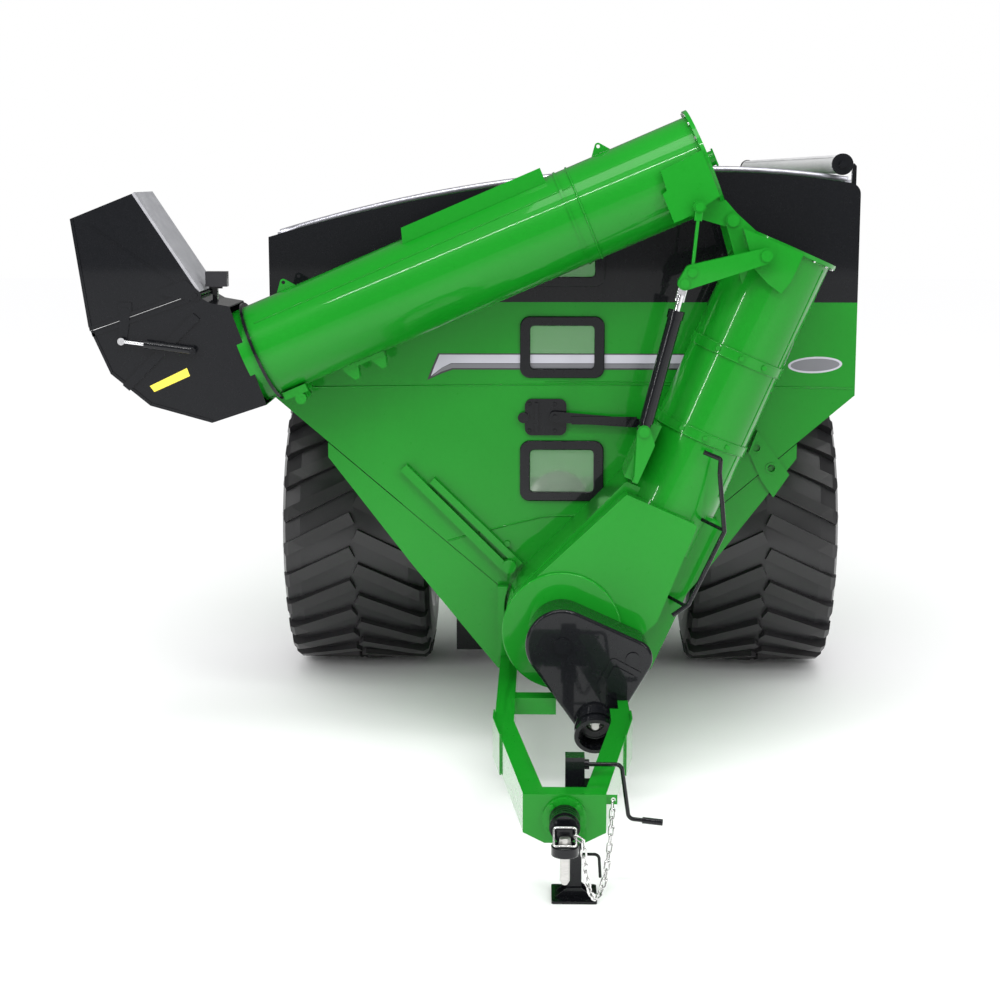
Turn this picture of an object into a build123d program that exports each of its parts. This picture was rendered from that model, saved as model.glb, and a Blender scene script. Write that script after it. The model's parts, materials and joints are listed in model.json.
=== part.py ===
from build123d import *
import os
from math import acosh, asinh, cos, cosh, hypot, radians, sin, sinh

# A single-axle grain cart with a front corner auger that folds across the tank.
# X is to the right seen from the front, Y runs from the hitch back to the tank, Z is up.
# The origin is on the hitch pin, in the middle of its free lower end.

os.makedirs("parts", exist_ok=True)

# ---- driving dimensions, mm; heights are above the ground ----
pin_end_height = 375.0        # middle of the hitch pin's free end, the origin
running = 0.05                # radial clearance of a pin in its bore
side_gap = 0.6                # side clearance between plates that turn past each other

eye_height = 470.0
eye_radius = 68.0
eye_thickness = 50.0
eye_bore = 27.0
neck_top = 555.0
hitch_pin_radius = 25.0
hitch_pin_end_radius = 24.0
hitch_pin_end_length = 120.0

plate_y = 290.0               # front face of the tongue's nose plate
plate_thickness = 20.0
plate_half_width = 209.0
tongue_top = 653.0
rail_height = 200.0
rail_width = 110.0
rail_wall = 10.0
bend_y = 1580.0
rail_outer = 385.0
rail_rear_y = 8350.0

axle_y = 5640.0
tyre_radius = 1090.0
tyre_width = 1075.0
tyre_centre_x = 1480.0
rim_radius = 560.0
rim_thickness = 14.0
lug_count = 27
lug_depth = 62.0
wheel_stud_count = 10
wheel_stud_circle = 212.0

tank_front_y = 3140.0
tank_rear_y = 8840.0
tank_half_width = 1838.0
sheet = 8.0                   # tank sheet
side_bottom = 2330.0          # where the vertical sides meet the upper slopes
slope_break_x = 1490.0
slope_break = 2040.0
hopper_half_width = 405.0
hopper_bottom = 660.0
band_seam = 2380.0
paint_line = 2912.0           # top of the tank sheet, foot of the extensions
left_corner = 3315.0
right_corner = 3636.0
crown_height = 3715.0
crown_x = 950.0

auger_height = 975.0          # horizontal auger
trough_radius = 270.0
flight_radius = 245.0
flight_thickness = 8.0
shaft_radius = 45.0
drum_radius = 362.0
housing_front_y = 2390.0
housing_step_y = 2590.0

tube_y = 2780.0
tube_radius = 290.0
tube_wall = 8.0
tube_flange_radius = 325.0
tube_flange_thickness = 24.0
hinge_x = 998.0
hinge_height = 3432.0
hinge_offset = 378.0          # hinge pin to either tube's axis
hinge_pin_radius = 22.0
lower_tilt = 66.5             # lower tube above horizontal
upper_tilt = 23.1             # folded upper tube above horizontal
lower_length = 1960.0
upper_length = 3000.0

cover_front_y = 2040.0
cover_depth = 50.0
input_x = 195.0
input_height = 519.0
idler_x = 415.0
idler_height = 898.0
drive_corners = [(0, auger_height, 217), (idler_x, idler_height, 116), (input_x, input_height, 112)]
input_shaft_radius = 22.0
input_shaft_end = 110.0

jack_x = 55.0
jack_y = 610.0
jack_tube = 100.0
jack_leg_width = 75.0
jack_top = 760.0
crank_height = 710.0

chain_pitch = 44.0
chain_wire = 5.0
chain_width = 36.0
chain_play = 0.15             # between two links where they bear on each other
chain_lug_x = 244.0
chain_lug_y = 318.0

link_front_y = 2356.0         # front face of the fold link's front plate
link_plate = 12.0
link_eye = 24.0               # thickness of the two eyes that lie between the plates
barrel_radius = 43.0
rod_radius = 20.0


def up(height):
    """Z of a height above the ground."""
    return height - pin_end_height


def across(y):
    """Plane parallel to the tank front at y, drawn in X and Z, extruding towards the hitch."""
    return Plane(origin=(0, y, 0), x_dir=(1, 0, 0), z_dir=(0, -1, 0))


def along(x):
    """Plane parallel to the tank side at x, drawn in Y and Z, extruding to the right."""
    return Plane(origin=(x, 0, 0), x_dir=(0, 1, 0), z_dir=(1, 0, 0))


def finish(part, label):
    """Label a finished piece and write it."""
    part.label = label
    export_step(part, "parts/" + label + ".step")
    print(label, len(part.solids()), part.is_valid, round(part.volume / 1e6, 1))


def together(*parts):
    """Separate solids that are welded or bolted into one piece, kept as one node."""
    return Compound([solid for part in parts for solid in part.solids()])


def prism(points, plane, amount):
    """A straight-edged plate in the current part."""
    with BuildSketch(plane) as outline:
        with BuildLine():
            Polyline(*points, close=True)
        make_face()
    return extrude(outline.sketch, amount=amount)


def disc(x, z, y, radius, amount, mode=Mode.ADD):
    """A round boss, pin or hole along Y, from y towards the hitch."""
    with BuildSketch(across(y)) as outline:
        with Locations((x, z)):
            Circle(radius)
    return extrude(outline.sketch, amount=amount, mode=mode)


def lobes(circles, plane, amount, mode=Mode.ADD):
    """A plate whose outline is the belt round circles given as (x, z, radius)."""
    with BuildSketch(plane) as outline:
        for x, z, radius in circles:
            with Locations((x, z)):
                Circle(radius)
        make_hull()
    return extrude(outline.sketch, amount=amount, mode=mode)


def tube_along(start, end, radius, mode=Mode.ADD):
    """A round bar between two points."""
    direction = Vector(*end) - Vector(*start)
    with BuildSketch(Plane(origin=start, z_dir=direction)) as outline:
        Circle(radius)
    return extrude(outline.sketch, amount=direction.length, mode=mode)


def bent_bar(points, bend, radius):
    """A round bar bent at its inner points."""
    with BuildLine() as path:
        FilletPolyline(*points, radius=bend)
    with BuildSketch(Plane(origin=path.line @ 0, z_dir=path.line % 0)) as outline:
        Circle(radius)
    return sweep(outline.sketch, path=path.line)


def box_at(low, high, mode=Mode.ADD):
    """A box between two corners."""
    size = [b - a for a, b in zip(low, high)]
    middle = [(a + b) / 2 for a, b in zip(low, high)]
    with Locations(tuple(middle)):
        return Box(*size, mode=mode)


def drive_outline(shrink):
    """The belt round the three drive shafts, made smaller by shrink."""
    return [(x, up(height), radius - shrink) for x, height, radius in drive_corners]


# ---- tongue and chassis ----
nose_y = plate_y + plate_thickness
taper = (rail_outer - plate_half_width) / (bend_y - nose_y)
wide = rail_width * hypot(1, taper)      # rail width measured along X


def tongue_outer(y):
    return plate_half_width + taper * (y - nose_y)


def rail_outline(wall):
    y0 = nose_y + wall
    y1 = bend_y - wall
    return [
        (tongue_outer(y0) - wall, y0),
        (tongue_outer(y1) - wall, y1),
        (tongue_outer(y1) - wide + wall, y1),
        (tongue_outer(y0) - wide + wall, y0),
    ]


with BuildPart() as tongue_rails:
    prism(rail_outline(0), Plane.XY.offset(up(tongue_top - rail_height)), rail_height)
    with BuildSketch(Plane.XY.offset(up(tongue_top - rail_height + rail_wall))):
        with BuildLine():
            Polyline(*rail_outline(rail_wall), close=True)
        make_face()
    extrude(amount=rail_height - 2 * rail_wall, mode=Mode.SUBTRACT)
    mirror(about=Plane.YZ)
    box_at((203, chain_lug_y - 4, up(596)), (264, chain_lug_y + 4, up(644)))
    disc(chain_lug_x, up(620), chain_lug_y + 4, 12, 8, Mode.SUBTRACT)

with BuildPart() as frame_rails:
    low = (rail_outer - rail_width, bend_y, up(tongue_top - rail_height))
    high = (rail_outer, rail_rear_y, up(tongue_top))
    box_at(low, high)
    inner_low = (low[0] + rail_wall, low[1] + rail_wall, low[2] + rail_wall)
    inner_high = (high[0] - rail_wall, high[1] - rail_wall, high[2] - rail_wall)
    box_at(inner_low, inner_high, Mode.SUBTRACT)
    mirror(about=Plane.YZ)
    depth = housing_front_y + 24 - cover_front_y + 16
    lobes(drive_outline(-6), across(housing_front_y + 24), depth, Mode.SUBTRACT)
    notch = (rail_outer - rail_width - 1, cover_front_y - 190, up(tongue_top - rail_height - 1))
    box_at(notch, (input_x + 130, cover_front_y + 1, up(tongue_top) + 1), Mode.SUBTRACT)
    notch = (input_x + 130, cover_front_y - 190, up(tongue_top - rail_height))
    box_at(notch, (input_x + 140, cover_front_y - 16, up(tongue_top)))
    doubler_low = (rail_outer, cover_front_y - 140, up(tongue_top - rail_height))
    box_at(doubler_low, (rail_outer + 12, housing_front_y + 160, up(tongue_top - 60)))

gusset_thickness = 10.0
gusset_length = 330.0
with BuildPart() as tongue_gussets:
    y0 = bend_y - gusset_length
    outline = [
        (tongue_outer(y0), y0),
        (tongue_outer(y0) + gusset_thickness, y0),
        (rail_outer + gusset_thickness, bend_y),
        (rail_outer + gusset_thickness, bend_y + gusset_length / 2),
        (rail_outer, bend_y + gusset_length / 2),
        (rail_outer, bend_y),
    ]
    prism(outline, Plane.XY.offset(up(tongue_top - rail_height - 10)), rail_height + 30)
    mirror(about=Plane.YZ)

hitch_axis_height = 530.0
hitch_bolt_offset = 94.5
hitch_bolt_radius = 10.0
with BuildPart() as nose_plate:
    half = plate_half_width
    outline = [
        (-half, up(tongue_top)),
        (-half, up(455)),
        (-100, up(400)),
        (100, up(400)),
        (half, up(455)),
        (half, up(tongue_top)),
    ]
    prism(outline, across(nose_y), plate_thickness)
    disc(0, up(hitch_axis_height), nose_y, 45, plate_thickness, Mode.SUBTRACT)
    with BuildSketch(across(nose_y)):
        with Locations((0, up(hitch_axis_height))):
            with PolarLocations(hitch_bolt_offset, 4, start_angle=45):
                Circle(hitch_bolt_radius)
    extrude(amount=plate_thickness, mode=Mode.SUBTRACT)

with BuildPart() as nose_block:
    inner = tongue_outer(nose_y) - wide
    inner_rear = tongue_outer(nose_y + 100) - wide
    outline = [(-inner, nose_y), (inner, nose_y), (inner_rear, nose_y + 100), (-inner_rear, nose_y + 100)]
    prism(outline, Plane.XY.offset(up(tongue_top - 12)), 12)
    behind = nose_y + 18
    inner = tongue_outer(behind) - wide
    outline = [(-inner, behind), (inner, behind), (inner_rear, nose_y + 100), (-inner_rear, nose_y + 100)]
    prism(outline, Plane.XY.offset(up(tongue_top - rail_height)), 12)

with BuildPart() as cross_members:
    reach = rail_outer - rail_width
    for y, depth, end in ((2110, 130, -34), (4300, 120, reach), (7000, 120, reach), (8200, 120, reach)):
        box_at((-reach, y, up(540)), (end, y + depth, up(640)))
        box_at((-reach, y + 8, up(548)), (end, y + depth - 8, up(632)), Mode.SUBTRACT)

# ---- hitch ----
flange_radius = 112.0
barrel_outer = 77.0
barrel_front_y = 150.0
shank_radius = 34.0
with BuildPart() as hitch_barrel:
    with BuildSketch(along(0)):
        with BuildLine():
            groove = 7
            edge = [(plate_y, 0), (plate_y, flange_radius), (plate_y - 20, flange_radius)]
            edge.append((plate_y - 20, barrel_outer))
            for step in range(3):
                y = plate_y - 44 - 30 * step
                edge += [(y, barrel_outer), (y, barrel_outer - groove)]
                edge += [(y - 10, barrel_outer - groove), (y - 10, barrel_outer)]
            edge += [(barrel_front_y, barrel_outer), (barrel_front_y, 0)]
            Polyline(*[(y, up(hitch_axis_height) + r) for y, r in edge], close=True)
        make_face()
    revolve(axis=Axis((0, 0, up(hitch_axis_height)), (0, 1, 0)))
    disc(0, up(hitch_axis_height), plate_y, shank_radius + running, plate_y, Mode.SUBTRACT)
    with BuildSketch(across(plate_y)):
        with Locations((0, up(hitch_axis_height))):
            with PolarLocations(hitch_bolt_offset, 4, start_angle=45):
                Circle(hitch_bolt_radius)
    extrude(amount=plate_y, mode=Mode.SUBTRACT)

with BuildPart() as hitch_bolts:
    reach = hitch_bolt_offset * cos(radians(45))
    for x in (-reach, reach):
        for z in (-reach, reach):
            height = up(hitch_axis_height) + z
            disc(x, height, nose_y, hitch_bolt_radius - running, plate_thickness + 34)
            with BuildSketch(across(plate_y - 20)):
                with Locations((x, height)):
                    RegularPolygon(15, 6)
            extrude(amount=14)
            with BuildSketch(across(nose_y + 14)):
                with Locations((x, height)):
                    RegularPolygon(15, 6)
            extrude(amount=14)
finish(together(hitch_barrel.part, hitch_bolts.part), "hitch_barrel")

with BuildPart() as hitch_eye:
    disc(0, up(hitch_axis_height), plate_y - 4, shank_radius, plate_y - 4 - barrel_front_y + 1)
    disc(0, up(hitch_axis_height), barrel_front_y - 1, 70, 30)
    neck_y = barrel_front_y - 31
    with BuildSketch(along(-38)):
        with BuildLine():
            Polyline(
                (neck_y, up(neck_top)),
                (neck_y, up(eye_height - 25)),
                (eye_radius - 20, up(eye_height - 25)),
                (eye_radius - 20, up(eye_height + 25)),
                (eye_radius - 14, up(neck_top)),
                close=True,
            )
        make_face()
    extrude(amount=76)
    with BuildSketch(Plane.XY.offset(up(eye_height - eye_thickness / 2))):
        Circle(eye_radius)
    extrude(amount=eye_thickness)
    fillet(edges().filter_by(GeomType.CIRCLE).group_by(SortBy.RADIUS)[-2], 6)
    with BuildSketch(Plane.XY.offset(up(eye_height - eye_thickness))):
        Circle(eye_bore)
    extrude(amount=150, mode=Mode.SUBTRACT)
finish(hitch_eye.part, "hitch_eye")

with BuildPart() as hitch_pin:
    with BuildSketch(Plane.XY.offset(up(pin_end_height) - hitch_pin_end_length / 2)):
        Circle(hitch_pin_end_radius)
    extrude(amount=hitch_pin_end_length)
    with BuildSketch(Plane.XY.offset(up(pin_end_height) - hitch_pin_end_length / 2)):
        Circle(hitch_pin_end_radius)
    extrude(amount=-20, taper=30)
    with BuildSketch(Plane.XY.offset(up(pin_end_height) + hitch_pin_end_length / 2)):
        Circle(hitch_pin_radius)
    extrude(amount=eye_height - pin_end_height - hitch_pin_end_length / 2 + eye_thickness / 2)
    with BuildSketch(Plane.XY.offset(up(eye_height + eye_thickness / 2))):
        Circle(eye_bore + 3.5)
    extrude(amount=16)
    with BuildSketch(Plane.XY.offset(up(eye_height + eye_thickness / 2 + 16))):
        Circle(eye_bore)
    extrude(amount=22)
    fillet(edges().group_by(Axis.Z)[-1], 6)
finish(hitch_pin.part, "hitch_pin")

# ---- safety chain: links hung on a catenary between the tongue lug and the loop round the pin ----
ring_wire = 6.0
ring_half_width = 54.0
ring_front = Vector(0, -38, up(eye_height + eye_thickness / 2) + ring_wire + 0.2)
ring_back = Vector(0, 60, up(neck_top) + ring_wire + 0.2)
ring_side = (ring_front + ring_back) * 0.5 + Vector(ring_half_width, 0, 0)


def catenary(a, b, low):
    """Joints of the chain's links, from a to b, sagging to the height low."""
    span = hypot(b.X - a.X, b.Y - a.Y)
    small = span / 100
    large = span * 4
    for _ in range(60):
        scale = (small + large) / 2
        reach_a = scale * acosh(1 + (a.Z - low) / scale)
        reach_b = scale * acosh(1 + (b.Z - low) / scale)
        if reach_a + reach_b > span:
            large = scale
        else:
            small = scale
    arc_a = scale * sinh(reach_a / scale)
    arc_b = scale * sinh(reach_b / scale)
    count = 2 * round((arc_a + arc_b) / chain_pitch / 2) + 1
    joints = []
    for step in range(count + 1):
        arc = -arc_a + (arc_a + arc_b) * step / count
        run = scale * asinh(arc / scale)
        height = low + scale * (cosh(run / scale) - 1)
        share = (run + reach_a) / span
        joints.append(Vector(a.X + (b.X - a.X) * share, a.Y + (b.Y - a.Y) * share, height))
    return joints


def link_path(length, width):
    """Centre line of a link, long along local X."""
    straight = (length - width) / 2
    bend = width / 2
    Line((-straight, bend), (straight, bend))
    ThreePointArc((straight, bend), (straight + bend, 0), (straight, -bend))
    Line((straight, -bend), (-straight, -bend))
    ThreePointArc((-straight, -bend), (-straight - bend, 0), (-straight, bend))


chain_rise = Vector(-0.856, 0, 0.517)      # the last link leans over the eye's edge to the ring
lug_hole = Vector(chain_lug_x, chain_lug_y, up(611.8))
loop_end = ring_side + chain_rise * (ring_wire + 0.3)
over_edge = loop_end - chain_rise * chain_pitch
joints = catenary(lug_hole, over_edge, up(168)) + [loop_end]
swing = Vector(-(over_edge.Y - lug_hole.Y), over_edge.X - lug_hole.X, 0).normalized()
runs = [there - here for here, there in zip(joints, joints[1:])]
reaches = [chain_wire + chain_play]
for before, after in zip(runs, runs[1:]):
    bend = radians(before.get_angle(after))
    reaches.append((chain_wire + chain_play) / cos(bend / 2))
reaches.append(chain_wire + chain_play)
with BuildPart() as safety_chain:
    for step, run in enumerate(runs):
        way = run.normalized()
        here = joints[step] - way * reaches[step]
        there = joints[step + 1] + way * reaches[step + 1]
        flat = swing.cross(run) if step % 2 else swing
        if step == len(runs) - 1:
            flat = run.cross(ring_back - ring_front).cross(run)
        frame = Plane(origin=(here + there) * 0.5, x_dir=run, z_dir=flat)
        with BuildLine(frame) as wire:
            link_path((there - here).length, chain_width - 2 * chain_wire)
        with BuildSketch(Plane(origin=wire.line @ 0, z_dir=wire.line % 0)):
            Circle(chain_wire)
        sweep(path=wire.line)

with BuildPart() as chain_ring:
    ring_plane = Plane(origin=(ring_front + ring_back) * 0.5, x_dir=(1, 0, 0), z_dir=Vector(1, 0, 0).cross(ring_back - ring_front))
    reach = (ring_back - ring_front).length / 2
    with BuildLine(ring_plane) as wire:
        FilletPolyline(
            (-ring_half_width, 0),
            (-ring_half_width, reach),
            (ring_half_width, reach),
            (ring_half_width, -reach),
            (-ring_half_width, -reach),
            (-ring_half_width, -1),
            radius=14,
        )
        Line((-ring_half_width, -1), (-ring_half_width, 0))
    with BuildSketch(Plane(origin=wire.line @ 0, z_dir=wire.line % 0)):
        Circle(ring_wire)
    sweep(path=wire.line)
finish(together(safety_chain.part, chain_ring.part), "safety_chain")

finish(together(tongue_rails.part, nose_plate.part, nose_block.part), "tongue")

# ---- jack ----
jack_gap = 0.4
foot_size = (236.0, 250.0)
foot_thickness = 14.0
leg_top = 480.0
leg_wall = 6.0
with BuildPart() as jack_housing:
    half = jack_tube / 2
    low = (jack_x - half, jack_y - half, up(380))
    high = (jack_x + half, jack_y + half, up(jack_top))
    box_at(low, high)
    inner = jack_leg_width / 2 + jack_gap
    box_at((jack_x - inner, jack_y - inner, up(380)), (jack_x + inner, jack_y + inner, up(700)), Mode.SUBTRACT)
    with BuildSketch(along(jack_x + half)):
        with Locations((jack_y, up(crank_height))):
            Circle(26)
    extrude(amount=24)
    with BuildSketch(along(jack_x)):
        with Locations((jack_y, up(crank_height))):
            Circle(11 + running)
    extrude(amount=half + 24, mode=Mode.SUBTRACT)

with BuildPart() as jack_mount:
    half = jack_tube / 2
    outline = []
    for y in (jack_y - 60, jack_y + 60):
        outline.append((tongue_outer(y) - wide, y))
    outline += [(jack_x + half, jack_y + 60), (jack_x + half, jack_y - 60)]
    prism(outline, Plane.XY.offset(up(500)), 16)
    prism(outline, Plane.XY.offset(up(600)), 16)
finish(together(jack_housing.part, jack_mount.part), "jack_housing")

with BuildPart() as jack_leg:
    half = jack_leg_width / 2
    box_at((jack_x - half, jack_y - half, up(foot_thickness)), (jack_x + half, jack_y + half, up(leg_top)))
    inner = half - leg_wall
    top = up(leg_top)
    box_at((jack_x - inner, jack_y - inner, up(foot_thickness)), (jack_x + inner, jack_y + inner, top), Mode.SUBTRACT)
    with BuildSketch(along(jack_x)):
        with Locations((jack_y, up(225))):
            Circle(8 + running)
    extrude(amount=half, mode=Mode.SUBTRACT)

with BuildPart() as jack_foot:
    with BuildSketch(Plane.XY.offset(up(0))):
        with Locations((jack_x, jack_y)):
            RectangleRounded(*foot_size, 14)
    extrude(amount=foot_thickness)
    half = jack_leg_width / 2
    for side in (-1, 1):
        y = jack_y + side * (half + 6)
        outline = [(jack_x - 90, up(14)), (jack_x + 90, up(14)), (jack_x + 34, up(60)), (jack_x - 34, up(60))]
        prism(outline, across(y + 6), 12)
finish(together(jack_leg.part, jack_foot.part), "jack_leg")

crank_arm_x = jack_x + 240
with BuildPart() as jack_crank:
    bent_bar(
        [
            (jack_x + 8, jack_y, up(crank_height)),
            (crank_arm_x, jack_y, up(crank_height)),
            (crank_arm_x + 40, jack_y, up(crank_height - 290)),
            (crank_arm_x + 215, jack_y, up(crank_height - 310)),
        ],
        34,
        11,
    )

with BuildPart() as crank_grip:
    start = (crank_arm_x + 110, jack_y, up(crank_height - 298))
    end = (crank_arm_x + 215, jack_y, up(crank_height - 310))
    tube_along(start, end, 17)
    tube_along(start, end, 11 + running, Mode.SUBTRACT)
finish(together(jack_crank.part, crank_grip.part), "jack_crank")

with BuildPart() as jack_lock_pin:
    bent_bar(
        [
            (jack_x + 4, jack_y, up(225)),
            (jack_x + 128, jack_y, up(225)),
            (jack_x + 136, jack_y, up(100)),
        ],
        26,
        8,
    )
finish(jack_lock_pin.part, "jack_lock_pin")

# ---- drop axle and wheels ----
cradle_half_length = 420.0
cradle_half_width = 770.0
cradle_low = 150.0
spindle_radius = 60.0
hub_radius = 150.0
hub_inner_x = 1120.0
hub_outer_x = 1420.0
riser_thickness = 60.0
with BuildPart() as axle_cradle:
    top = up(tongue_top - rail_height)
    low = (-cradle_half_width, axle_y - cradle_half_length, up(cradle_low))
    box_at(low, (cradle_half_width, axle_y + cradle_half_length, top))
    wall = 16
    inner_low = (low[0] + wall, low[1] + wall, low[2] + wall)
    inner_high = (cradle_half_width - wall, axle_y + cradle_half_length - wall, top - wall)
    box_at(inner_low, inner_high, Mode.SUBTRACT)

with BuildPart() as axle_risers:
    outline = [
        (axle_y - cradle_half_length, up(tongue_top - rail_height)),
        (axle_y + cradle_half_length, up(tongue_top - rail_height)),
        (axle_y + 170, up(tyre_radius + 120)),
        (axle_y - 170, up(tyre_radius + 120)),
    ]
    prism(outline, along(cradle_half_width - riser_thickness), riser_thickness)
    with BuildSketch(along(cradle_half_width)):
        with Locations((axle_y, up(tyre_radius))):
            Circle(spindle_radius)
    extrude(amount=hub_outer_x - 20 - cradle_half_width)
    with BuildSketch(along(cradle_half_width)):
        with Locations((axle_y, up(tyre_radius))):
            Circle(120)
    extrude(amount=80)
    mirror(about=Plane.YZ)
finish(together(axle_cradle.part, axle_risers.part), "axle")


def wheel_plane(side, x):
    """Plane square to the axle at x out from the middle, extruding outwards."""
    origin = (side * x, axle_y, up(tyre_radius))
    return Plane(origin=origin, x_dir=(0, 1, 0), z_dir=(side, 0, 0))


def wheel_profile(side):
    """Plane through the axle for turned parts: local x is out from the cart, local y is up."""
    return Plane(origin=(0, axle_y, up(tyre_radius)), x_dir=(side, 0, 0), z_dir=(0, -side, 0))


def turned(side, points):
    """A part turned about the axle from its half section."""
    with BuildSketch(wheel_profile(side)) as section:
        with BuildLine():
            Polyline(*points, close=True)
        make_face()
    axle = Axis((0, axle_y, up(tyre_radius)), (1, 0, 0))
    return revolve(section.sketch, axis=axle)


half_width = tyre_width / 2
disc_x = 1440.0
for side, name in ((-1, "left"), (1, "right")):
    with BuildPart() as hub:
        turned(
            side,
            [
                (hub_inner_x, spindle_radius + running),
                (hub_inner_x, hub_radius),
                (hub_inner_x + 60, hub_radius),
                (hub_outer_x - 40, 125),
                (hub_outer_x - 22, 125),
                (hub_outer_x - 22, 270),
                (hub_outer_x, 270),
                (hub_outer_x, 118),
                (hub_outer_x + 95, 105),
                (hub_outer_x + 110, 88),
                (hub_outer_x + 110, 0),
                (hub_outer_x - 16, 0),
                (hub_outer_x - 16, spindle_radius + running),
            ],
        )
        with BuildSketch(wheel_plane(side, hub_outer_x)):
            with PolarLocations(wheel_stud_circle, wheel_stud_count):
                Circle(12)
        extrude(amount=60)

    with BuildPart() as rim:
        inner = tyre_centre_x - half_width + 60
        outer = tyre_centre_x + half_width - 60
        r = rim_radius
        t = rim_thickness
        turned(
            side,
            [
                (inner, r + 30),
                (inner + t, r + 30),
                (inner + t, r),
                (outer - t, r),
                (outer - t, r + 30),
                (outer, r + 30),
                (outer, r - t),
                (hub_outer_x + 150, r - t),
                (hub_outer_x + 60, 380),
                (hub_outer_x + t + 1, 300),
                (hub_outer_x + t + 1, 130),
                (hub_outer_x + 0.3, 130),
                (hub_outer_x + 0.3, 306),
                (hub_outer_x + 46, 388),
                (hub_outer_x + 128, r - t),
                (inner, r - t),
            ],
        )
        with BuildSketch(wheel_plane(side, hub_outer_x)):
            with PolarLocations(wheel_stud_circle, wheel_stud_count):
                Circle(12.5)
        extrude(amount=40, mode=Mode.SUBTRACT)
    finish(rim.part, "wheel_rim_" + name)

    with BuildPart() as nuts:
        with BuildSketch(wheel_plane(side, hub_outer_x + rim_thickness + 1)):
            with PolarLocations(wheel_stud_circle, wheel_stud_count):
                RegularPolygon(22, 6)
        extrude(amount=26)
        with BuildSketch(wheel_plane(side, hub_outer_x + rim_thickness + 1)):
            with PolarLocations(wheel_stud_circle, wheel_stud_count):
                Circle(12 + running)
        extrude(amount=26, mode=Mode.SUBTRACT)
    finish(together(hub.part, nuts.part), "wheel_hub_" + name)

    with BuildPart() as tyre:
        bare = tyre_radius - lug_depth
        w = half_width
        c = tyre_centre_x
        turned(
            side,
            [
                (c - w + 130, rim_radius + 0.3),
                (c - w + 74.5, rim_radius + 0.3),
                (c - w + 74.5, rim_radius + 31),
                (c - w + 50, rim_radius + 36),
                (c - w + 14, rim_radius + 120),
                (c - w + 2, rim_radius + 220),
                (c - w + 10, bare - 130),
                (c - w + 40, bare - 30),
                (c - w + 150, bare),
                (c, bare + 16),
                (c + w - 150, bare),
                (c + w - 40, bare - 30),
                (c + w - 10, bare - 130),
                (c + w - 2, rim_radius + 220),
                (c + w - 14, rim_radius + 120),
                (c + w - 50, rim_radius + 36),
                (c + w - 74.5, rim_radius + 31),
                (c + w - 74.5, rim_radius + 0.3),
                (c + w - 130, rim_radius + 0.3),
                (c + w - 110, rim_radius + 60),
                (c + w - 60, rim_radius + 220),
                (c + w - 120, bare - 90),
                (c - w + 120, bare - 90),
                (c - w + 60, rim_radius + 220),
                (c - w + 110, rim_radius + 60),
            ],
        )
        lug_length = half_width + 40
        for half in (-1, 1):
            lean = 26.0
            first = 180.0 / lug_count if half > 0 else 0.0
            for step in range(lug_count):
                angle = first + step * 360.0 / lug_count
                with Locations(
                    Location((side * (c + half * (w / 2 - 8)), axle_y, up(tyre_radius)), (angle, 0, 0))
                    * Location((0, 0, tyre_radius - lug_depth / 2 - 46))
                    * Location((0, 0, 0), (0, 0, -lean * half * side))
                ):
                    Box(lug_length * 0.96, 88, lug_depth + 56)
        outer_limit = [
            (c - w, 300),
            (c - w, bare - 150),
            (c - w + 34, tyre_radius - 46),
            (c - w + 70, tyre_radius - 18),
            (c, tyre_radius),
            (c + w - 70, tyre_radius - 18),
            (c + w - 34, tyre_radius - 46),
            (c + w, bare - 150),
            (c + w, 300),
        ]
        with BuildSketch(wheel_profile(side)) as keep:
            with BuildLine():
                Polyline(*outer_limit, close=True)
            make_face()
        limit = revolve(keep.sketch, axis=Axis((0, axle_y, up(tyre_radius)), (1, 0, 0)), mode=Mode.PRIVATE)
        add(limit, mode=Mode.INTERSECT)
    finish(tyre.part, "tyre_" + name)

# ---- tank ----
inside = tank_half_width - sheet
window_size = (402.0, 268.0)
window_frame = 64.0
window_heights = (2631.0, 1846.0)
top_window_height = 3205.0
slope_foot_y = 7480.0
slope_foot_x = 404.0
slope_foot = 1108.0
left_top = (-tank_half_width, up(left_corner))
right_top = (tank_half_width - 58, up(right_corner + 12))
crown = (crown_x, up(crown_height))
left_haunch = (-500, up(3612))
right_haunch = (1400, up(3696))


def arch(raise_by, reach_left, reach_right):
    """The roof line, from the low left corner over the crown to the right corner."""
    ThreePointArc(
        (-reach_left, left_top[1] + raise_by),
        (left_haunch[0], left_haunch[1] + raise_by),
        (crown[0], crown[1] + raise_by),
    )
    ThreePointArc(
        (crown[0], crown[1] + raise_by),
        (right_haunch[0], right_haunch[1] + raise_by),
        (reach_right, right_top[1] + raise_by),
    )


def end_sheet(y, windows):
    """A tank end sheet standing between y and y + sheet, with sight-window holes."""
    outline = [
        (-tank_half_width, up(paint_line)),
        (-tank_half_width, up(side_bottom)),
        (-slope_foot_x, up(slope_foot)),
        (slope_foot_x, up(slope_foot)),
        (tank_half_width, up(side_bottom)),
        (tank_half_width, up(paint_line)),
    ]
    prism(outline, across(y + sheet), sheet)
    for height in windows:
        window_hole(y + sheet, height)


def window_hole(y, height):
    with BuildSketch(across(y)) as hole:
        with Locations((0, up(height))):
            RectangleRounded(window_size[0] + 40, window_size[1] + 40, 40)
    extrude(hole.sketch, amount=sheet, mode=Mode.SUBTRACT)


with BuildPart() as front_sheet:
    end_sheet(tank_front_y, window_heights)
    disc(0, up(auger_height), tank_front_y + sheet, trough_radius, sheet, Mode.SUBTRACT)
finish(front_sheet.part, "front_sheet")

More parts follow.
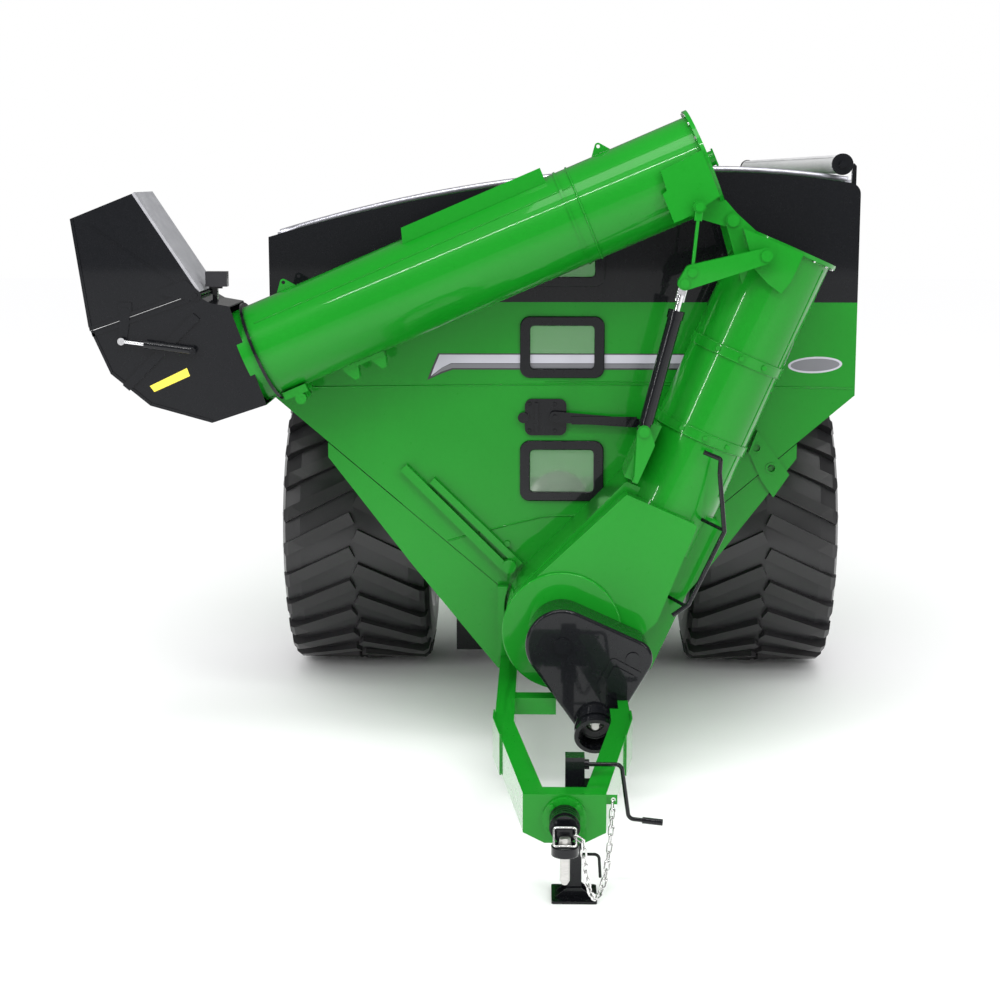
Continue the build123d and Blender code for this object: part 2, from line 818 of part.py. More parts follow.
with BuildPart() as front_extension:
    with BuildSketch(across(tank_front_y + sheet)):
        with BuildLine():
            arch(0, tank_half_width, right_top[0])
            corner = (tank_half_width, right_top[1] - 70)
            RadiusArc((right_top[0], right_top[1]), corner, 70)
            Line(corner, (tank_half_width, up(paint_line)))
            Line((tank_half_width, up(paint_line)), (-tank_half_width, up(paint_line)))
            Line((-tank_half_width, up(paint_line)), left_top)
        make_face()
    extrude(amount=sheet)
    window_hole(tank_front_y + sheet, top_window_height)
finish(front_extension.part, "front_extension")

with BuildPart() as rear_extension:
    add(front_extension.part.moved(Location((0, tank_rear_y - tank_front_y - sheet, 0))))
    with BuildSketch(across(tank_rear_y)):
        with Locations((0, up(top_window_height))):
            RectangleRounded(window_size[0] + 40, window_size[1] + 40, 40)
    extrude(amount=sheet)

rear_window_height = 2085.0
with BuildPart() as rear_sheet:
    outline = [
        (-tank_half_width, up(paint_line)),
        (-tank_half_width, up(side_bottom)),
        (tank_half_width, up(side_bottom)),
        (tank_half_width, up(paint_line)),
    ]
    prism(outline, across(tank_rear_y), sheet)
    window_hole(tank_rear_y, rear_window_height)

side_front = tank_front_y + sheet
side_rear = tank_rear_y - sheet
with BuildPart() as tank_sides:
    box_at((inside, side_front, up(side_bottom)), (tank_half_width, side_rear, up(paint_line)))
    mirror(about=Plane.YZ)

with BuildPart() as side_extensions:
    box_at((inside, side_front, up(paint_line)), (tank_half_width, side_rear, right_top[1] - 70))
    box_at((-tank_half_width, side_front, up(paint_line)), (-inside, side_rear, left_top[1]))


def slope_plate(corners, thickness):
    """A flat plate on four corners, thickened to the outside of the hopper."""
    a, b, c = (Vector(*corner) for corner in corners[:3])
    plane = Plane(origin=a, x_dir=b - a, z_dir=(b - a).cross(c - a))
    flat = [plane.to_local_coords(Vector(*corner)) for corner in corners]
    return prism([(p.X, p.Y) for p in flat], plane, thickness)


well_x = 872.0                # inner wall of the wheel wells
well_front = 4480.0
well_rear = 6800.0
well_top = 2250.0
slope_rise = (side_bottom - slope_foot) / (inside - slope_foot_x)
well_low = slope_foot + (well_x - slope_foot_x) * slope_rise
with BuildPart() as hopper_slopes:
    top = up(side_bottom)
    foot = up(slope_foot)
    slope_plate(
        [
            (inside, side_front, top),
            (inside, side_rear, top),
            (slope_foot_x, slope_foot_y, foot),
            (slope_foot_x, side_front, foot),
        ],
        sheet,
    )
    box_at((well_x, well_front, foot), (inside + 40, well_rear, top + 20), Mode.SUBTRACT)
    box_at((well_x, well_front, up(well_low) - 6), (well_x + sheet, well_rear, up(well_top) + sheet))
    shelf = [(well_x, up(well_top)), (well_x, up(well_top) + sheet), (inside, top + sheet), (inside, top)]
    prism(shelf, across(well_rear), well_rear - well_front)
    well_end = [(well_x, up(well_low) - 6), (well_x, up(well_top)), (inside, top), (inside - 7, top - 6)]
    for y in (well_front + sheet, well_rear):
        prism(well_end, across(y), sheet)
    mirror(about=Plane.YZ)
    slope_plate(
        [
            (inside, side_rear, top),
            (-inside, side_rear, top),
            (-slope_foot_x, slope_foot_y, foot),
            (slope_foot_x, slope_foot_y, foot),
        ],
        sheet,
    )

with BuildPart() as trough:
    with BuildSketch(across(slope_foot_y)):
        with BuildLine() as inner_line:
            r = trough_radius
            z = up(auger_height)
            Polyline((-slope_foot_x, foot), (-r, z), (-r, z - 1))
            ThreePointArc((-r, z - 1), (0, z - r), (r, z - 1))
            Polyline((r, z - 1), (r, z), (slope_foot_x, foot))
            Line((slope_foot_x, foot), (slope_foot_x + sheet * 1.4, foot))
            Polyline((slope_foot_x + sheet * 1.4, foot), (r + sheet, z - 4), (r + sheet, z - 5))
            ThreePointArc((r + sheet, z - 5), (0, z - r - sheet), (-r - sheet, z - 5))
            Polyline((-r - sheet, z - 5), (-r - sheet, z - 4), (-slope_foot_x - sheet * 1.4, foot))
            Line((-slope_foot_x - sheet * 1.4, foot), (-slope_foot_x, foot))
        make_face()
    extrude(amount=slope_foot_y - side_front - 12)

with BuildPart() as trough_end:
    outline = [
        (-slope_foot_x, foot),
        (-trough_radius - sheet, up(auger_height) - 5),
        (-200, up(auger_height) - 190),
        (0, up(auger_height) - trough_radius - sheet),
        (200, up(auger_height) - 190),
        (trough_radius + sheet, up(auger_height) - 5),
        (slope_foot_x, foot),
    ]
    prism(outline, across(slope_foot_y + 12), 12)
    disc(0, up(auger_height), slope_foot_y + 12, shaft_radius + running, 12, Mode.SUBTRACT)

hopper_panels = []
for x0, x1 in ((-tank_half_width, 0), (0, tank_half_width)):
    for y0, y1 in ((side_front, well_front - 6), (well_front - 6, well_rear + 6), (well_rear + 6, side_rear + 40)):
        with BuildPart() as hopper_panel:
            add(hopper_slopes.part)
            box_at((x0, y0, foot - 100), (x1, y1, top + 100), Mode.INTERSECT)
        hopper_panels.append(hopper_panel.part)
finish(together(*hopper_panels, trough.part, trough_end.part), "hopper_slopes")

bulkhead_thickness = 12.0
side_gusset_x = 1485.0
with BuildPart() as support_bulkheads:
    for y in (side_front, 4300, 6950):
        with BuildSketch(across(y + bulkhead_thickness)):
            with BuildLine():
                right_side = [
                    (slope_foot_x + 12, foot),
                    (side_gusset_x, up(2020)),
                    (side_gusset_x, up(1926)),
                    (956, up(1233)),
                    (487, up(tongue_top)),
                ]
                if y == side_front:
                    right_side += [(405, up(552)), (rail_outer + 1, up(552)), (rail_outer + 1, up(tongue_top))]
                left_side = [(-x, z) for x, z in reversed(right_side)]
                Polyline(*right_side, *left_side, close=True)
            make_face()
            with BuildLine():
                Polyline(
                    (-slope_foot_x - 15, foot + 1),
                    (-trough_radius - sheet - 5, up(auger_height)),
                    (-trough_radius - sheet - 5, up(auger_height) - 5),
                    (trough_radius + sheet + 5, up(auger_height) - 5),
                    (trough_radius + sheet + 5, up(auger_height)),
                    (slope_foot_x + 15, foot + 1),
                    close=True,
                )
            make_face(mode=Mode.SUBTRACT)
            with Locations((0, up(auger_height) - 5)):
                Circle(trough_radius + sheet + 0.5, mode=Mode.SUBTRACT)
        extrude(amount=bulkhead_thickness)
finish(support_bulkheads.part, "support_bulkheads")

post_depth = 60.0
with BuildPart() as side_posts:
    for y in (3600, 4650, 5700, 6750, 7800, 8690):
        box_at((tank_half_width, y, up(side_bottom)), (tank_half_width + post_depth, y + 90, up(paint_line)))
        box_at(
            (tank_half_width + 6, y + 6, up(side_bottom) + 6),
            (tank_half_width + post_depth - 6, y + 84, up(paint_line) - 6),
            Mode.SUBTRACT,
        )
    mirror(about=Plane.YZ)
finish(together(tank_sides.part, side_posts.part), "tank_sides")

with BuildPart() as front_legs:
    box_at((330, tank_front_y - 85, up(tongue_top)), (405, tank_front_y, up(slope_foot)))
    box_at((338, tank_front_y - 77, up(tongue_top) + 8), (397, tank_front_y - 8, up(slope_foot) - 8), Mode.SUBTRACT)
    mirror(about=Plane.YZ)
    leg_cut = [(0, up(auger_height), drum_radius), (700, up(auger_height + 700), 60), (520, up(650), 41)]
    lobes(leg_cut, across(tank_front_y), 100, Mode.SUBTRACT)
finish(
    together(frame_rails.part, tongue_gussets.part, cross_members.part, front_legs.part),
    "frame_rails",
)

# ---- roof ----
rail_depth = 40.0
bow_radius = 19.0
roll_x = 1722.0
roll_radius = 62.0
roll_tube_radius = 22.0
roll_height = right_top[1] + 2 * bow_radius + roll_radius + 13.8
with BuildPart() as top_rails:
    box_at((inside - rail_depth, side_front, right_top[1] - 110), (inside, side_rear, right_top[1] - 70))
    box_at((-inside, side_front, left_top[1] - 60), (-inside + rail_depth, side_rear, left_top[1] - 20))

with BuildPart() as roof_bows:
    for y in (3500, 4700, 5900, 7100, 8400):
        with BuildLine(across(y)) as bow_line:
            arch(bow_radius, inside - rail_depth / 2, inside - rail_depth / 2)
        with BuildSketch(Plane(origin=bow_line.line @ 0, z_dir=bow_line.line % 0)):
            Circle(bow_radius)
        sweep(path=bow_line.line)
        box_at(
            (inside - rail_depth, y - 15, right_top[1] - 70),
            (inside - 2, y + 15, right_top[1] + bow_radius),
        )
        box_at(
            (-inside + 2, y - 15, left_top[1] - 20),
            (-inside + rail_depth, y + 15, left_top[1] + bow_radius),
        )
finish(roof_bows.part, "roof_bows")

with BuildPart() as tarp_roll:
    disc(roll_x, roll_height, tank_rear_y - 30, roll_radius, tank_rear_y - tank_front_y - 60)
    disc(roll_x, roll_height, tank_rear_y, roll_tube_radius, tank_rear_y - tank_front_y, Mode.SUBTRACT)
finish(tarp_roll.part, "tarp_roll")

with BuildPart() as tarp_tube:
    disc(roll_x, roll_height, tank_rear_y + 10, roll_tube_radius, tank_rear_y - tank_front_y + 40)

with BuildPart() as tarp_caps:
    for y in (tank_front_y + 30, tank_rear_y - 6):
        disc(roll_x, roll_height, y, roll_radius + 4, 24)
        disc(roll_x, roll_height, y, roll_tube_radius, 24, Mode.SUBTRACT)
finish(together(tarp_tube.part, tarp_caps.part), "tarp_tube")

with BuildPart() as tarp_stops:
    for y in (3260, 4700, 5900, 7100, 8600):
        outline = [
            (inside, right_top[1] - 69.8),
            (inside, roll_height - 10),
            (inside - 14, roll_height + 6),
            (inside - 26, roll_height - 10),
            (inside - 26, right_top[1] - 69.8),
        ]
        prism(outline, across(y + 60), 40)
finish(
    together(side_extensions.part, rear_extension.part, top_rails.part, tarp_stops.part),
    "side_extensions",
)

# ---- sight windows ----
with BuildPart() as window_frames:
    places = [(tank_front_y, height) for height in (*window_heights, top_window_height)]
    for y, height in places:
        with BuildSketch(across(y)):
            with Locations((0, up(height))):
                RectangleRounded(window_size[0] + 2 * window_frame, window_size[1] + 2 * window_frame - 8, 62)
                RectangleRounded(*window_size, 26, mode=Mode.SUBTRACT)
        extrude(amount=22)
    front_edges = edges().filter_by(Plane.XZ).group_by(Axis.Y)[0]
    fillet(front_edges, 7)
    with BuildSketch(across(tank_rear_y + 22)):
        with Locations((0, up(rear_window_height))):
            RectangleRounded(window_size[0] + 2 * window_frame, window_size[1] + 2 * window_frame - 8, 62)
            RectangleRounded(*window_size, 26, mode=Mode.SUBTRACT)
    extrude(amount=22)
finish(window_frames.part, "window_frames")

with BuildPart() as window_panes:
    places = [(tank_front_y + sheet, height) for height in (*window_heights, top_window_height)]
    places.append((tank_rear_y, rear_window_height))
    for y, height in places:
        with BuildSketch(across(y)):
            with Locations((0, up(height))):
                RectangleRounded(window_size[0] + 39, window_size[1] + 39, 39)
        extrude(amount=sheet)
finish(window_panes.part, "window_panes")

with BuildPart() as inside_ladder:
    for x in (-180, 180):
        box_at((x - 20, side_rear - 60, up(side_bottom + 60)), (x + 20, side_rear - 40, up(3300)))
    for step in range(4):
        height = up(2450 + 240 * step)
        tube_along((-180, side_rear - 50, height), (180, side_rear - 50, height), 9)
    for x in (-180, 180):
        for height in (2500, 3180):
            box_at((x - 15, side_rear - 40, up(height)), (x + 15, side_rear, up(height + 30)))
finish(together(rear_sheet.part, inside_ladder.part), "rear_sheet")

with BuildPart() as rear_lamps:
    for x in (-1560, 1560):
        with BuildSketch(across(tank_rear_y + 40)):
            with Locations((x, up(2520))):
                RectangleRounded(240, 110, 20)
        extrude(amount=40)
finish(rear_lamps.part, "rear_lamps")

# ---- auger geometry: both tubes lie in one plane square to the cart's length ----
down = Vector(-cos(radians(lower_tilt)), 0, -sin(radians(lower_tilt)))
lower_side = Vector(-sin(radians(lower_tilt)), 0, cos(radians(lower_tilt)))
outward = Vector(-cos(radians(upper_tilt)), 0, -sin(radians(upper_tilt)))
upper_side = Vector(sin(radians(upper_tilt)), 0, -cos(radians(upper_tilt)))
hinge = Vector(hinge_x, tube_y, up(hinge_height))
lower_end = hinge - lower_side * hinge_offset
upper_end = hinge - upper_side * hinge_offset
flange_back = 1.0             # each flange face stands this far from the hinge plane
lower_face = lower_end + down * flange_back
upper_face = upper_end + outward * flange_back


def lower_point(along_axis, aside):
    """X and Z of a point on the lower tube's plane: down from the flange, and towards the hinge."""
    spot = lower_end + down * along_axis + lower_side * aside
    return (spot.X, spot.Z)


def upper_point(along_axis, aside):
    """The same on the folded upper tube."""
    spot = upper_end + outward * along_axis + upper_side * aside
    return (spot.X, spot.Z)


def pipe(start, direction, length, outer, inner):
    """A length of tube."""
    with BuildSketch(Plane(origin=start, z_dir=direction)) as ring:
        Circle(outer)
        Circle(inner, mode=Mode.SUBTRACT)
    return extrude(ring.sketch, amount=length)


def bore_out(start, direction, length, radius):
    """Cut a round space."""
    with BuildSketch(Plane(origin=start, z_dir=direction)) as ring:
        Circle(radius)
    return extrude(ring.sketch, amount=length, mode=Mode.SUBTRACT)


def auger(start, direction, length, pitch, radius, stub_low, stub_high):
    """A shaft with one flight wound round it, its stubs reaching past both ends."""
    middle = (shaft_radius + radius) / 2
    with BuildPart() as screw:
        with BuildSketch(Plane.XY.offset(-stub_low)):
            Circle(shaft_radius)
        extrude(amount=length + stub_low + stub_high)
        with BuildLine():
            Helix(pitch=pitch, height=length, radius=middle)
        with BuildSketch(Plane(origin=(middle, 0, 0), x_dir=(1, 0, 0), z_dir=(0, 1, 0))):
            Rectangle(radius - shaft_radius + 6, flight_thickness)
        sweep(is_frenet=True)
    return screw.part.moved(Plane(origin=start, z_dir=direction).location)


def spider(start, direction, thickness):
    """A bearing hub on three arms that carries an auger's shaft in its tube."""
    with BuildSketch(Plane(origin=start, z_dir=direction)) as arms:
        Circle(62)
        with PolarLocations(0, 3):
            with Locations(((tube_radius - tube_wall - 1.1) / 2, 0)):
                Rectangle(tube_radius - tube_wall - 1.1, 36)
        Circle(shaft_radius + 2 * running, mode=Mode.SUBTRACT)
    return extrude(arms.sketch, amount=thickness)


# ---- auger housing and lower tube ----
collar_s = 1700.0
housing_wall = 10.0
shoulder_left = lower_point(collar_s, 300)
shoulder_right = lower_point(collar_s, -300)


def housing_body(shrink):
    """The housing's outline at the back, belted round the drum and the tube's foot."""
    return [
        (0, up(auger_height), drum_radius - 14 - shrink),
        (shoulder_left[0], shoulder_left[1] - 6, 26 - shrink),
        (shoulder_right[0] - 12, shoulder_right[1], 26 - shrink),
        (520, up(725), 40 - shrink),
    ]


def housing_face(shrink):
    """The housing's outline at its front face."""
    return [
        (0, up(auger_height), drum_radius - 16 - shrink),
        (388, up(1790), 18 - shrink),
        (788, up(1615), 18 - shrink),
        (540, up(1050), 40 - shrink),
    ]


with BuildPart() as lower_housing:
    lobes(housing_body(0), across(tank_front_y), tank_front_y - tube_y)
    lobes(housing_body(0), across(tube_y), tube_y - housing_step_y)
    lobes(housing_face(0), across(housing_step_y), housing_step_y - housing_front_y - 40)
    lobes(housing_body(housing_wall), across(tank_front_y), tank_front_y - housing_step_y - housing_wall, Mode.SUBTRACT)
    lobes(
        housing_face(housing_wall),
        across(housing_step_y + 2 * housing_wall),
        housing_step_y - housing_front_y - 40 + housing_wall,
        Mode.SUBTRACT,
    )
    bore_out(tuple(lower_face), down, lower_length, tube_radius + 0.3)
    disc(0, up(auger_height), housing_front_y + 60, shaft_radius + 12, 40, Mode.SUBTRACT)
    box_at((100, tank_front_y - 25, up(1640)), (270, tank_front_y + 1, up(2060)), Mode.SUBTRACT)

with BuildPart() as drum_ring:
    disc(0, up(auger_height), housing_front_y + 40, drum_radius, 26)
    disc(0, up(auger_height), housing_front_y + 40, shaft_radius + running, 26, Mode.SUBTRACT)
    fillet(edges().filter_by(GeomType.CIRCLE).group_by(Axis.Y)[0].sort_by(SortBy.RADIUS)[-1], 8)
finish(together(lower_housing.part, drum_ring.part), "lower_housing")

with BuildPart() as lower_tube:
    pipe(tuple(lower_face), down, lower_length, tube_radius, tube_radius - tube_wall)

with BuildPart() as lower_spiders:
    spider(tuple(lower_end + down * 66), tuple(down), 18)
    spider(tuple(lower_end + down * 1925), tuple(down), 30)

with BuildPart() as lower_flange:
    pipe(tuple(lower_face), down, tube_flange_thickness, tube_flange_radius, tube_radius + 0.1)

with BuildPart() as lower_auger:
    start = lower_end + down * 1900
    add(auger(tuple(start), tuple(down * -1), 1800, 480, flight_radius, 60, 36))
finish(lower_auger.part, "lower_auger")

strap_width = 58.0
with BuildPart() as tube_straps:
    for s in (690, 1210):
        start = lower_end + down * s
        pipe(tuple(start), down, strap_width, tube_radius + 9, tube_radius + 0.1)
        for aside in (-150, 0, 150):
            x, z = lower_point(s + strap_width / 2, aside)
            depth = (tube_radius**2 - aside**2) ** 0.5
            disc(x, z, tube_y - depth + 6, 15, 30)
        bore_out(tuple(lower_face), down, lower_length, tube_radius + 0.1)
finish(
    together(lower_tube.part, lower_spiders.part, lower_flange.part, tube_straps.part),
    "lower_tube",
)

# hinge ears: the lower pair outside, the upper pair inside
ear_thickness = 22.0
lower_ear_gap = 232.0
upper_ear_gap = lower_ear_gap - ear_thickness - side_gap
ear_radius = 46.0


def hinge_ears(point, gap, face, direction, length):
    """Two ears from a tube's side to the hinge pin."""
    corners = [point(0, hinge_offset), point(330, 150), point(40, 150)]
    for y in (tube_y + gap, tube_y - gap + ear_thickness):
        with BuildSketch(across(y)) as outline:
            with Locations(corners[0]):
                Circle(ear_radius)
            for corner in corners[1:]:
                with Locations(corner):
                    Circle(12)
            make_hull()
        extrude(outline.sketch, amount=ear_thickness)
    disc(hinge.X, hinge.Z, tube_y + gap, hinge_pin_radius + running, 2 * gap, Mode.SUBTRACT)
    bore_out(tuple(face - direction * 60), direction, length, tube_radius + 0.25)
    bore_out(tuple(face - direction * 30), direction, tube_flange_thickness + 30.3, tube_flange_radius + 0.4)


with BuildPart() as lower_ears:
    hinge_ears(lower_point, lower_ear_gap, lower_face, down, 1000)

with BuildPart() as hinge_pin:
    disc(hinge.X, hinge.Z, tube_y + lower_ear_gap + 16, hinge_pin_radius, 2 * lower_ear_gap + 32)
    disc(hinge.X, hinge.Z, tube_y - lower_ear_gap - 0.3, hinge_pin_radius + 14, 18)

# ---- fold linkage ----
pivot_link = Vector(1179, 0, up(3233))
pivot_tie = Vector(749, 0, up(3136))
pivot_rod = Vector(706, 0, up(3072))
pivot_bracket = Vector(785, 0, up(3514))
pivot_base = Vector(480, 0, up(2198))
link_pin_radius = 20.0
link_slot = 2 * link_eye + 3 * side_gap
link_rear_y = link_front_y + 2 * link_plate + link_slot
tie_y = link_front_y + link_plate + side_gap + link_eye
rod_y = tie_y + side_gap + link_eye
saddle_y = link_rear_y + 8

with BuildPart() as link_saddle:
    outline = [
        (1049, up(3389)),
        (1405, up(3243)),
        (1333, up(3079)),
        (1276, up(3010)),
        (1195, up(3070)),
        (1120, up(3150)),
    ]
    prism(outline, across(tube_y - 240), tube_y - 240 - saddle_y)
    bore_out(tuple(lower_face - down * 60), down, lower_length, tube_radius + 0.25)
    bore_out(tuple(lower_face - down * 400), down, 400, 700)
    bore_out(tuple(lower_face - down * 10), down, tube_flange_thickness + 10.3, tube_flange_radius + 0.3)
    disc(pivot_link.X, pivot_link.Z, saddle_y, 44, saddle_y - link_rear_y - side_gap)
    disc(pivot_link.X, pivot_link.Z, saddle_y, link_pin_radius, saddle_y - link_front_y + 10)

with BuildPart() as pin_cap:
    disc(pivot_link.X, pivot_link.Z, link_front_y - side_gap, link_pin_radius + 14, 16)
    disc(pivot_link.X, pivot_link.Z, link_front_y - side_gap, link_pin_radius, 9.4, Mode.SUBTRACT)
finish(together(hinge_pin.part, pin_cap.part), "hinge_pin")

plate_outline = [
    (pivot_link.X, pivot_link.Z, 46),
    (pivot_tie.X, pivot_tie.Z, 46),
    (pivot_rod.X, pivot_rod.Z, 40),
]
with BuildPart() as fold_link:
    for y in (link_rear_y, link_front_y + link_plate):
        lobes(plate_outline, across(y), link_plate)
    disc(pivot_link.X, pivot_link.Z, link_rear_y, 46, link_rear_y - link_front_y)
    disc(pivot_tie.X, pivot_tie.Z, link_front_y + link_plate, link_pin_radius + 8, link_plate + 10)
    disc(pivot_rod.X, pivot_rod.Z, link_front_y + link_plate, link_pin_radius + 8, link_plate + 10)
    disc(pivot_tie.X, pivot_tie.Z, tie_y, link_pin_radius, link_eye + side_gap + link_plate / 2)
    x = (pivot_link.X * 2 + pivot_tie.X) / 3
    z = (pivot_link.Z * 2 + pivot_tie.Z) / 3
    disc(x, z, link_rear_y, 26, link_rear_y - link_front_y)
    disc(pivot_link.X, pivot_link.Z, link_rear_y, link_pin_radius + running, 200, Mode.SUBTRACT)
finish(fold_link.part, "fold_link")

tie_eye_radius = 33.0
with BuildPart() as tie_link:
    disc(pivot_tie.X, pivot_tie.Z, tie_y, tie_eye_radius, link_eye)
    disc(pivot_bracket.X, pivot_bracket.Z, tie_y, tie_eye_radius + 4, link_eye)
    start = (pivot_tie.X, tie_y - link_eye / 2, pivot_tie.Z)
    end = (pivot_bracket.X, tie_y - link_eye / 2, pivot_bracket.Z)
    tube_along(start, end, link_eye / 2 - 1.5)
    run = (Vector(*end) - Vector(*start)).normalized()
    with BuildSketch(Plane(origin=tuple(Vector(*end) - run * 80), x_dir=(0, 1, 0), z_dir=run)):
        RectangleRounded(link_eye - 2, 46, 6)
    extrude(amount=50)
    disc(pivot_bracket.X, pivot_bracket.Z, tie_y - link_eye, link_pin_radius + 6, 14)
    disc(pivot_tie.X, pivot_tie.Z, tie_y + 1, link_pin_radius + running, link_eye + 2, Mode.SUBTRACT)
finish(tie_link.part, "tie_link")

base_eye_radius = 40.0
rod_eye_radius = 34.0
cylinder_y = rod_y - link_eye / 2
base = Vector(pivot_base.X, cylinder_y, pivot_base.Z)
tip = Vector(pivot_rod.X, cylinder_y, pivot_rod.Z)
ram = (tip - base).normalized()
barrel_length = (tip - base).length - 165
base_pin_radius = 22.0
with BuildPart() as fold_barrel:
    disc(base.X, base.Z, cylinder_y + 36, base_eye_radius, 72)
    pipe(tuple(base + ram * 52), ram, barrel_length - 52, barrel_radius, rod_radius + running)
    tube_along(tuple(base + ram * 20), tuple(base + ram * 60), 34)
    tube_along(tuple(base + ram * 52), tuple(base + ram * 80), barrel_radius)
    with BuildSketch(Plane(origin=tuple(base + ram * (barrel_length - 50)), z_dir=ram)):
        Circle(barrel_radius + 7)
        Circle(rod_radius + running, mode=Mode.SUBTRACT)
    extrude(amount=50)
    disc(base.X, base.Z, cylinder_y + 40, base_pin_radius + running, 80, Mode.SUBTRACT)
finish(fold_barrel.part, "fold_barrel")

with BuildPart() as fold_rod:
    tube_along(tuple(base + ram * 400), tuple(tip - ram * 70), rod_radius)
    disc(tip.X, tip.Z, rod_y, rod_eye_radius, link_eye)
    with BuildSketch(Plane(origin=tuple(tip - ram * 110), x_dir=(0, 1, 0), z_dir=ram)):
        RectangleRounded(link_eye - 2, 56, 6)
    extrude(amount=85)
finish(fold_rod.part, "fold_rod")

channel_low_s = 1640.0
channel_high_s = 1275.0
with BuildPart() as cylinder_lug:
    outline = [
        lower_point(channel_high_s, tube_radius - 20),
        lower_point(channel_high_s, tube_radius + 62),
        lower_point(channel_low_s, tube_radius + 62),
        lower_point(channel_low_s, tube_radius - 20),
    ]
    prism(outline, across(tube_y + 60), tube_y + 60 - cylinder_y - 40)
    bore_out(tuple(lower_face), down, lower_length, tube_radius + 0.1)
    for y in (cylinder_y + 36 + side_gap + 14, cylinder_y - 36 - side_gap):
        with BuildSketch(across(y)) as ear:
            with Locations((base.X, base.Z)):
                Circle(base_eye_radius)
            with Locations(lower_point(channel_low_s - 20, tube_radius - 6)):
                Circle(14)
            with Locations(lower_point(channel_high_s + 115, tube_radius - 6)):
                Circle(14)
            make_hull()
        extrude(ear.sketch, amount=14)
    web = [
        lower_point(channel_low_s - 120, tube_radius - 20),
        lower_point(channel_low_s - 120, tube_radius + 14),
        lower_point(channel_low_s, tube_radius + 14),
        lower_point(channel_low_s, tube_radius - 20),
    ]
    prism(web, across(cylinder_y + 41), 82 + side_gap)
    disc(base.X, base.Z, cylinder_y + 52, base_pin_radius, 104)
    disc(base.X, base.Z, cylinder_y - 52, base_pin_radius + 10, 12)
finish(together(lower_ears.part, link_saddle.part, cylinder_lug.part), "lower_brackets")

# ---- upper tube ----
with BuildPart() as upper_tube:
    pipe(tuple(upper_face), outward, upper_length, tube_radius, tube_radius - tube_wall)

with BuildPart() as upper_spiders:
    spider(tuple(upper_end + outward * 24), tuple(outward), 22)
    spider(tuple(upper_end + outward * 2895), tuple(outward), 30)

with BuildPart() as upper_flange:
    pipe(tuple(upper_face), outward, tube_flange_thickness, tube_flange_radius, tube_radius + 0.1)
    ring_start = upper_end + outward * 860
    pipe(tuple(ring_start), outward, 16, tube_radius + 7, tube_radius + 0.1)
finish(together(upper_tube.part, upper_spiders.part, upper_flange.part), "upper_tube")

with BuildPart() as upper_brackets:
    hinge_ears(upper_point, upper_ear_gap, upper_face, outward, 1000)
    outline = [
        upper_point(26, 210),
        upper_point(26, -75),
        upper_point(290, -60),
        upper_point(300, 60),
        upper_point(330, 70),
        upper_point(330, 250),
        upper_point(240, 250),
    ]
    prism(outline, across(tube_y - 150), tube_y - 150 - saddle_y)
    bore_out(tuple(upper_face), outward, upper_length, tube_radius + 0.25)
    disc(pivot_bracket.X, pivot_bracket.Z, saddle_y, 38, saddle_y - tie_y - side_gap)
    bore_out(tuple(upper_face - outward * 10), outward, tube_flange_thickness + 10.3, tube_flange_radius + 0.3)
finish(upper_brackets.part, "upper_brackets")

with BuildPart() as upper_auger:
    start = upper_end + outward * 60
    add(auger(tuple(start), tuple(outward), 2820, 480, flight_radius, 110, 60))

with BuildPart() as auger_dog:
    start = upper_end + outward * -50
    with BuildSketch(Plane(origin=tuple(start - outward * 10), z_dir=outward)):
        Rectangle(110, 40)
    extrude(amount=10)
finish(together(upper_auger.part, auger_dog.part), "upper_auger")

with BuildPart() as cover_strip:
    outline = [
        upper_point(930, -tube_radius + 30),
        upper_point(930, -tube_radius - 62),
        upper_point(1830, -tube_radius - 62),
        upper_point(1860, -tube_radius + 30),
    ]
    prism(outline, across(tube_y + 130), 260)
    bore_out(tuple(upper_face), outward, upper_length, tube_radius + 0.25)

with BuildPart() as lifting_eyes:
    for s in (560, 2630):
        with BuildSketch(across(tube_y + 8)) as eye:
            with Locations(upper_point(s, -tube_radius - 44)):
                Circle(20)
            for end in (-60, 60):
                with Locations(upper_point(s + end, -tube_radius + 12)):
                    Circle(8)
            make_hull()
            with Locations(upper_point(s, -tube_radius - 42)):
                Circle(11, mode=Mode.SUBTRACT)
        extrude(eye.sketch, amount=16)
    bore_out(tuple(upper_face), outward, upper_length, tube_radius + 0.25)

with BuildPart() as rest_bracket:
    for end in (2220, 2400):
        outline = [
            upper_point(end, tube_radius - 12),
            upper_point(end + 120, tube_radius - 12),
            upper_point(end + 60, tube_radius + 90),
            upper_point(end + 30, tube_radius + 90),
        ]
        prism(outline, across(tube_y + 60), 24)
        prism(outline, across(tube_y - 36), 24)
    outline = [
        upper_point(2230, tube_radius - 8),
        upper_point(2500, tube_radius - 8),
        upper_point(2500, tube_radius + 16),
        upper_point(2230, tube_radius + 16),
    ]
    prism(outline, across(tube_y + 70), 140)
    bore_out(tuple(upper_face), outward, upper_length, tube_radius + 0.25)

with BuildPart() as elbow_latch:
    outline = [
        upper_point(2740, tube_radius - 14),
        upper_point(2740, tube_radius + 34),
        upper_point(2890, tube_radius + 34),
        upper_point(2890, tube_radius - 14),
    ]
    prism(outline, across(tube_y - 80), 60)
    prism(outline, across(tube_y + 140), 60)
    for y in (tube_y - 80, tube_y + 140):
        x, z = upper_point(2800, tube_radius + 60)
        disc(x, z, y, 34, 60)
    bore_out(tuple(upper_face), outward, upper_length, tube_radius + 0.25)
finish(
    together(cover_strip.part, lifting_eyes.part, rest_bracket.part, elbow_latch.part),
    "upper_fittings",
)

